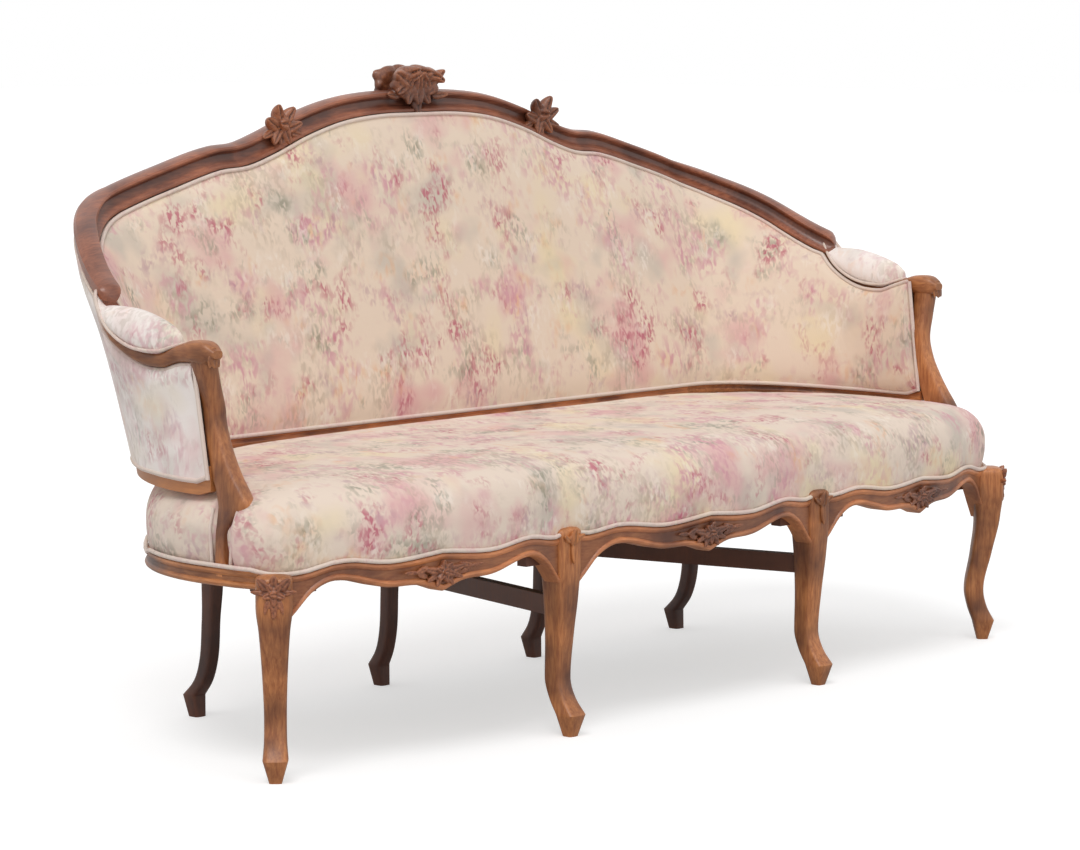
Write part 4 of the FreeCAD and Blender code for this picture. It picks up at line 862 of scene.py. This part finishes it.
# In the tuck round an arm support: from the rail up, drawing in over the cushion's shoulder
TUCK_LOW, TUCK_HIGH, SHOULDER = 330, 414, 385
for end, tilt in (("front", -1), ("rear", 1)):
    tuck_line = []
    for level in steps(TUCK_LOW, TUCK_HIGH, 12):
        x = 924 - max(level - SHOULDER, 0) * 0.35
        y = SUPPORT_FOOT + tilt * 21 + (level - TUCK_LOW) * 0.08 * tilt
        tuck_line.append(Vector((x, y, level)))
    both_sides(sweep("tuck_piping", cord_rings(tuck_line, FINE_PIPING)), f"piping_support_{end}",
               print_piping)
for name, path in pipings.items():
    dress(sweep(name, cord_rings(path, PIPING)), print_piping, (), 60)
both_sides(sweep("front_piping", cord_rings(front_end, PIPING)), "piping_wing_front", print_piping)
both_sides(sweep("outer_piping", cord_rings(outside_end, PIPING)), "piping_wing_outside", print_piping)

# Arm pads, leaves in plan

PAD_REAR, PAD_FRONT, PAD_HALF = 124, -67, 33
PAD_WIDE = ((0, 0.25), (0.04, 0.5), (0.15, 0.76), (0.3, 0.95), (0.5, 1.0), (0.7, 0.88), (0.86, 0.6),
            (0.96, 0.3), (1, 0.1))
PAD_CROWN = ((0, 706), (0.05, 712), (0.22, 716), (0.47, 714), (0.72, 703), (0.91, 690), (1, 678))
PAD_SECTION = [(-0.75, 0), (-1, 0.22), (-0.95, 0.45), (-0.8, 0.68), (-0.55, 0.86), (-0.25, 0.97), (0, 1),
               (0.25, 0.97), (0.55, 0.86), (0.8, 0.68), (0.95, 0.45), (1, 0.22), (0.75, 0)]
pad_rings = []
brim = []
for share in steps(0, 1, 40):
    y = mix(PAD_REAR, PAD_FRONT, share)
    half = PAD_HALF * smooth(PAD_WIDE, share)
    base = arm_top(y) - 4
    rise = max(smooth(PAD_CROWN, share) - base, 5)
    pad_rings.append([Vector((ARM_X + half * u, y, base + rise * v)) for u, v in PAD_SECTION])
    brim.append((half, y, base + 5))
both_sides(sweep("arm_pad", pad_rings), "arm_cushion", print_outside, ["arm_pad"], 60)
brim_line = [Vector((ARM_X + half, y, z)) for half, y, z in brim] \
    + [Vector((ARM_X - half, y, z)) for half, y, z in brim[::-1]]
brim_line.append(brim_line[0].copy())
both_sides(sweep("arm_piping", cord_rings(brim_line, PAD_PIPING)), "piping_arm", print_piping)

# Carving: leaves and petals laid over each other, cut as one


def carved(name, leaves, ground, grit=1.3):
    """Leaves are (across, up, length, width, lift, turn) on a ground that faces out of the wood."""
    bpy.ops.object.select_all(action="DESELECT")
    made = []
    for across, up, length, width, lift, turn in leaves:
        bpy.ops.mesh.primitive_uv_sphere_add(segments=20, ring_count=12)
        leaf = bpy.context.object
        lean = Matrix.Rotation(math.radians(turn), 3, "Z")
        for corner in leaf.data.vertices:
            x, y, z = corner.co
            slim = 1 - 0.3 * x
            vein = 0.3 * math.exp(-(y / 0.22) ** 2) if z > 0 else 0
            tip = 0.5 * max(x, 0) ** 2
            flat = Vector((x * length / 2, y * width / 2 * slim, lift * (0.25 + 0.6 * z + tip - vein)))
            corner.co = (ground @ (lean @ flat + Vector((across, up, 0)))) * MM
        made.append(leaf)
    for leaf in made:
        leaf.select_set(True)
    bpy.context.view_layer.objects.active = made[0]
    bpy.ops.object.join()
    block = bpy.context.object
    block.name = name
    remesh = block.modifiers.new("cut_as_one", "REMESH")
    remesh.mode = "VOXEL"
    remesh.voxel_size = grit * MM
    bpy.ops.object.modifier_apply(modifier=remesh.name)
    soften = block.modifiers.new("soften", "SMOOTH")
    bpy.ops.object.modifier_apply(modifier=soften.name)
    return block


def ground_at(point, heading):
    """A ground facing out at a heading: 0 to the front, 90 to the right."""
    angle = math.radians(heading)
    across = Vector((math.cos(angle), math.sin(angle), 0))
    out = Vector((math.sin(angle), -math.cos(angle), 0))
    axes = Matrix((across, (0, 0, 1), out)).transposed().to_4x4()
    return Matrix.Translation(point) @ axes


FLOWER = [(0, 0, 13, 13, 15, 0)]
FLOWER += [(11 * math.cos(math.radians(turn)), 11 * math.sin(math.radians(turn)), 17, 12, 11, turn)
           for turn in range(18, 378, 60)]
SPRAY = [(26, 3, 34, 13, 9, 12), (25, -8, 28, 10, 8, -18), (47, 6, 30, 10, 7, -12), (46, -3, 24, 8, 6, 14),
         (70, 4, 30, 7, 5, 4), (13, -15, 20, 10, 8, -60)]
RAIL_CARVING = FLOWER + SPRAY
RAIL_CARVING += [(-x, z, length, width, lift, 180 - turn) for x, z, length, width, lift, turn in SPRAY]
KNEE_CARVING = [(0, 0, 13, 13, 15, 0)]
KNEE_CARVING += [(10 * math.cos(math.radians(turn)), 10 * math.sin(math.radians(turn)), 17, 12, 11, turn)
                 for turn in range(-90, 270, 72)]
KNEE_CARVING += [(-17, 15, 26, 15, 12, 130), (17, 15, 26, 15, 12, 50), (0, 19, 20, 14, 10, 90),
                 (0, -24, 30, 13, 9, -90), (-11, -19, 26, 9, 8, -104), (11, -19, 26, 9, 8, -76),
                 (-24, 2, 24, 9, 9, 170), (24, 2, 24, 9, 9, 10)]

flower_z = RAIL_BOTTOM + 16
dress(carved("carving_front_centre", RAIL_CARVING, ground_at(Vector((0, -FRONT_REACH + 2, flower_z)), 0)),
      carved_beech)
bay_x = mix(FRONT_MID[0], FRONT_LEG[0], 0.5)
both_sides(carved("bay_carving", RAIL_CARVING, ground_at(Vector((bay_x, front_y(bay_x) + 2, flower_z)), 3)),
           "carving_front", carved_beech)
diagonal = 0.707
knee_out = (corner_knee + 24) * diagonal
knee_place = Vector((FRONT_LEG[0] + knee_out, FRONT_LEG[1] - knee_out, 298))
both_sides(carved("knee_carving", KNEE_CARVING, ground_at(knee_place, 45)), "carving_knee", carved_beech)
cap_place = Vector((FRONT_MID[0], FRONT_MID[1] - mid_knee - 26, 324))
CAP_CARVING = [(0, 4, 30, 20, 12, 90), (0, -22, 40, 12, 8, -90), (-15, 2, 22, 10, 8, 150),
               (15, 2, 22, 10, 8, 30)]
both_sides(carved("cap_carving", CAP_CARVING, ground_at(cap_place, 0)), "carving_knee_cap", beech_upright)

# Crest: a rolled shell over a flower, with a curl that hangs over to the right, and a flatter rear
CREST = [
    (-2, 16, 104, 54, 16, 0), (-40, 26, 50, 36, 28, 155), (-44, 10, 36, 26, 24, -150),
    (-28, 36, 52, 26, 28, 14), (4, 38, 56, 24, 26, -4), (32, 32, 42, 24, 26, -16), (50, 26, 26, 18, 24, -35),
    (57, 34, 18, 14, 20, 50), (-22, 20, 34, 22, 20, 70), (0, 18, 36, 22, 22, 90), (20, 18, 34, 22, 20, 110),
    (38, 8, 34, 24, 18, -150), (0, 0, 40, 36, 18, -90), (-20, -4, 34, 22, 16, -115),
    (20, -4, 34, 22, 16, -65), (-58, -2, 36, 16, 12, 176), (60, -4, 36, 16, 12, 4),
    (0, -22, 30, 24, 14, -90), (-52, 16, 24, 20, 24, 100), (-10, 30, 26, 14, 28, 30),
    (14, 30, 26, 14, 28, 150)]
flat_crest = [(-x, z, length, width, lift * 0.6, 180 - turn) for x, z, length, width, lift, turn in CREST]
crest_front = ground_at(Vector((0, RIDGE_Y - 2, ARCH - 4)), 0)
crest_rear = ground_at(Vector((0, RIDGE_Y + RAIL_THICK - 6, ARCH - 4)), 180)
dress(carved("carving_crest", CREST, crest_front, 1.6), carved_beech)
dress(carved("carving_crest_rear", flat_crest, crest_rear, 2), carved_beech)
LEAVES = [
    (-12, 12, 40, 24, 20, 125), (10, 14, 42, 24, 22, 70), (24, 0, 38, 22, 18, 30), (-26, -6, 38, 20, 16, 160),
    (-8, -18, 40, 22, 16, -110), (14, -20, 38, 20, 16, -55), (0, 0, 26, 26, 24, 0), (32, -18, 32, 14, 12, -20),
    (-36, -20, 32, 14, 12, -165), (0, -34, 30, 16, 12, -90)]
motif_x = 328
motif_place = Vector((motif_x, RIDGE_Y, ridge_height(motif_x) + 2))
both_sides(carved("leaf_motif", LEAVES, ground_at(motif_place, 0)), "carving_top_leaf", carved_beech)

# Knuckles at the arms' front: a small carved leaf over the roll
KNUCKLE = [(0, -2, 28, 20, 6, -90), (-8, -4, 22, 10, 4, -100), (8, -4, 22, 10, 4, -80),
           (0, 10, 18, 20, 4, 90)]
knuckle_place = Vector((ARM_X + 3, ARM_FRONT + 7, ARM_HIGH - 26))
both_sides(carved("knuckle", KNUCKLE, ground_at(knuckle_place, 0)), "carving_knuckle", beech_forward)

# What the frame keeps: the hidden timber, webs and hessian
KEPT = {
    "seat_rail_rear_left": dark_beech, "seat_rail_rear_right": dark_beech,
    "seat_rail_rear_centre": dark_beech, "cross_stretcher_left": dark_beech,
    "cross_stretcher_right": dark_beech, "corner_blocks": dark_beech,
    "seat_webbing": jute, "back_webbing": jute, "seat_hessian": hessian,
}
for name, material in KEPT.items():
    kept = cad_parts[name]
    kept.data.materials.clear()
    kept.data.materials.append(material)

# Studio: pale floor, soft light, and the camera of the photograph

bpy.ops.object.select_all(action="DESELECT")
FLOOR_M = 60
bpy.ops.mesh.primitive_plane_add(size=FLOOR_M)
floor = bpy.context.object
floor.name = "studio_floor"
floor_paint, floor_tree, floor_shader, floor_place = new_material("white_sweep")
mottle = node(floor_tree, "TexNoise", {"Vector": floor_place, "Scale": 2, "Detail": 2})
floor_white = node(floor_tree, "MapRange", {"Value": mottle.outputs["Fac"], "To Min": 0.6, "To Max": 0.63})
floor_grey = node(floor_tree, "CombineColor", dict.fromkeys(range(3), floor_white.outputs[0]))
floor_tree.links.new(floor_grey.outputs[0], floor_shader.inputs["Base Color"])
seen_floor = node(floor_tree, "LightPath").outputs["Is Camera Ray"]
FLOOR_GLOW = 0.5
floor_glow = node(floor_tree, "Math", {0: seen_floor, 1: FLOOR_GLOW}, operation="MULTIPLY")
floor_tree.links.new(floor_glow.outputs[0], floor_shader.inputs["Emission Strength"])
floor_shader.inputs["Emission Color"].default_value = (1, 1, 1, 1)
floor_shader.inputs["Roughness"].default_value = 0.95
floor_shader.inputs["Specular IOR Level"].default_value = 0.1
floor.data.materials.append(floor_paint)

world = bpy.data.worlds.new("studio")
bpy.context.scene.world = world
world.use_nodes = True
sky = world.node_tree
path = node(sky, "LightPath")
bounced = node(sky, "Math", {
    0: path.outputs["Is Glossy Ray"], 1: path.outputs["Is Transmission Ray"]}, operation="MAXIMUM")
seen = node(sky, "Math", {0: path.outputs["Is Camera Ray"], 1: bounced.outputs[0]}, operation="MAXIMUM")
brightness = node(sky, "MapRange", {"Value": seen.outputs[0], "To Min": 0.62, "To Max": 1.0})
sky.links.new(brightness.outputs[0], sky.nodes["Background"].inputs["Strength"])
sky.nodes["Background"].inputs["Color"].default_value = (1, 1, 1, 1)


def soft_sun(name, strength, spread, elevation, azimuth):
    """Azimuth 0 shines from the front and -90 from the left."""
    lamp = bpy.data.lights.new(name, "SUN")
    lamp.energy = strength
    lamp.angle = math.radians(spread)
    made = bpy.data.objects.new(name, lamp)
    bpy.context.scene.collection.objects.link(made)
    made.rotation_euler = (math.radians(90 - elevation), 0, math.radians(azimuth))


soft_sun("key_light", 1.15, 25, 58, -62)
soft_sun("fill_light", 0.45, 60, 40, -10)

# The photograph's camera: where it stands in metres, how far it looks down, and where it looks to
CAMERA_PLACE = (-5.0257, -4.6013, 1.2257)
LOOKS_DOWN, LOOKS_TO = 6.434, -47.374
LENS_MM, SENSOR_MM = 131.77, 36
camera_data = bpy.data.cameras.new("photo_camera")
camera_data.sensor_width = SENSOR_MM
camera_data.lens = LENS_MM
camera = bpy.data.objects.new("photo_camera", camera_data)
bpy.context.scene.collection.objects.link(camera)
camera.location = CAMERA_PLACE
camera.rotation_euler = (math.radians(90 - LOOKS_DOWN), 0, math.radians(LOOKS_TO))
bpy.context.scene.camera = camera
bpy.context.scene.view_settings.view_transform = "Standard"
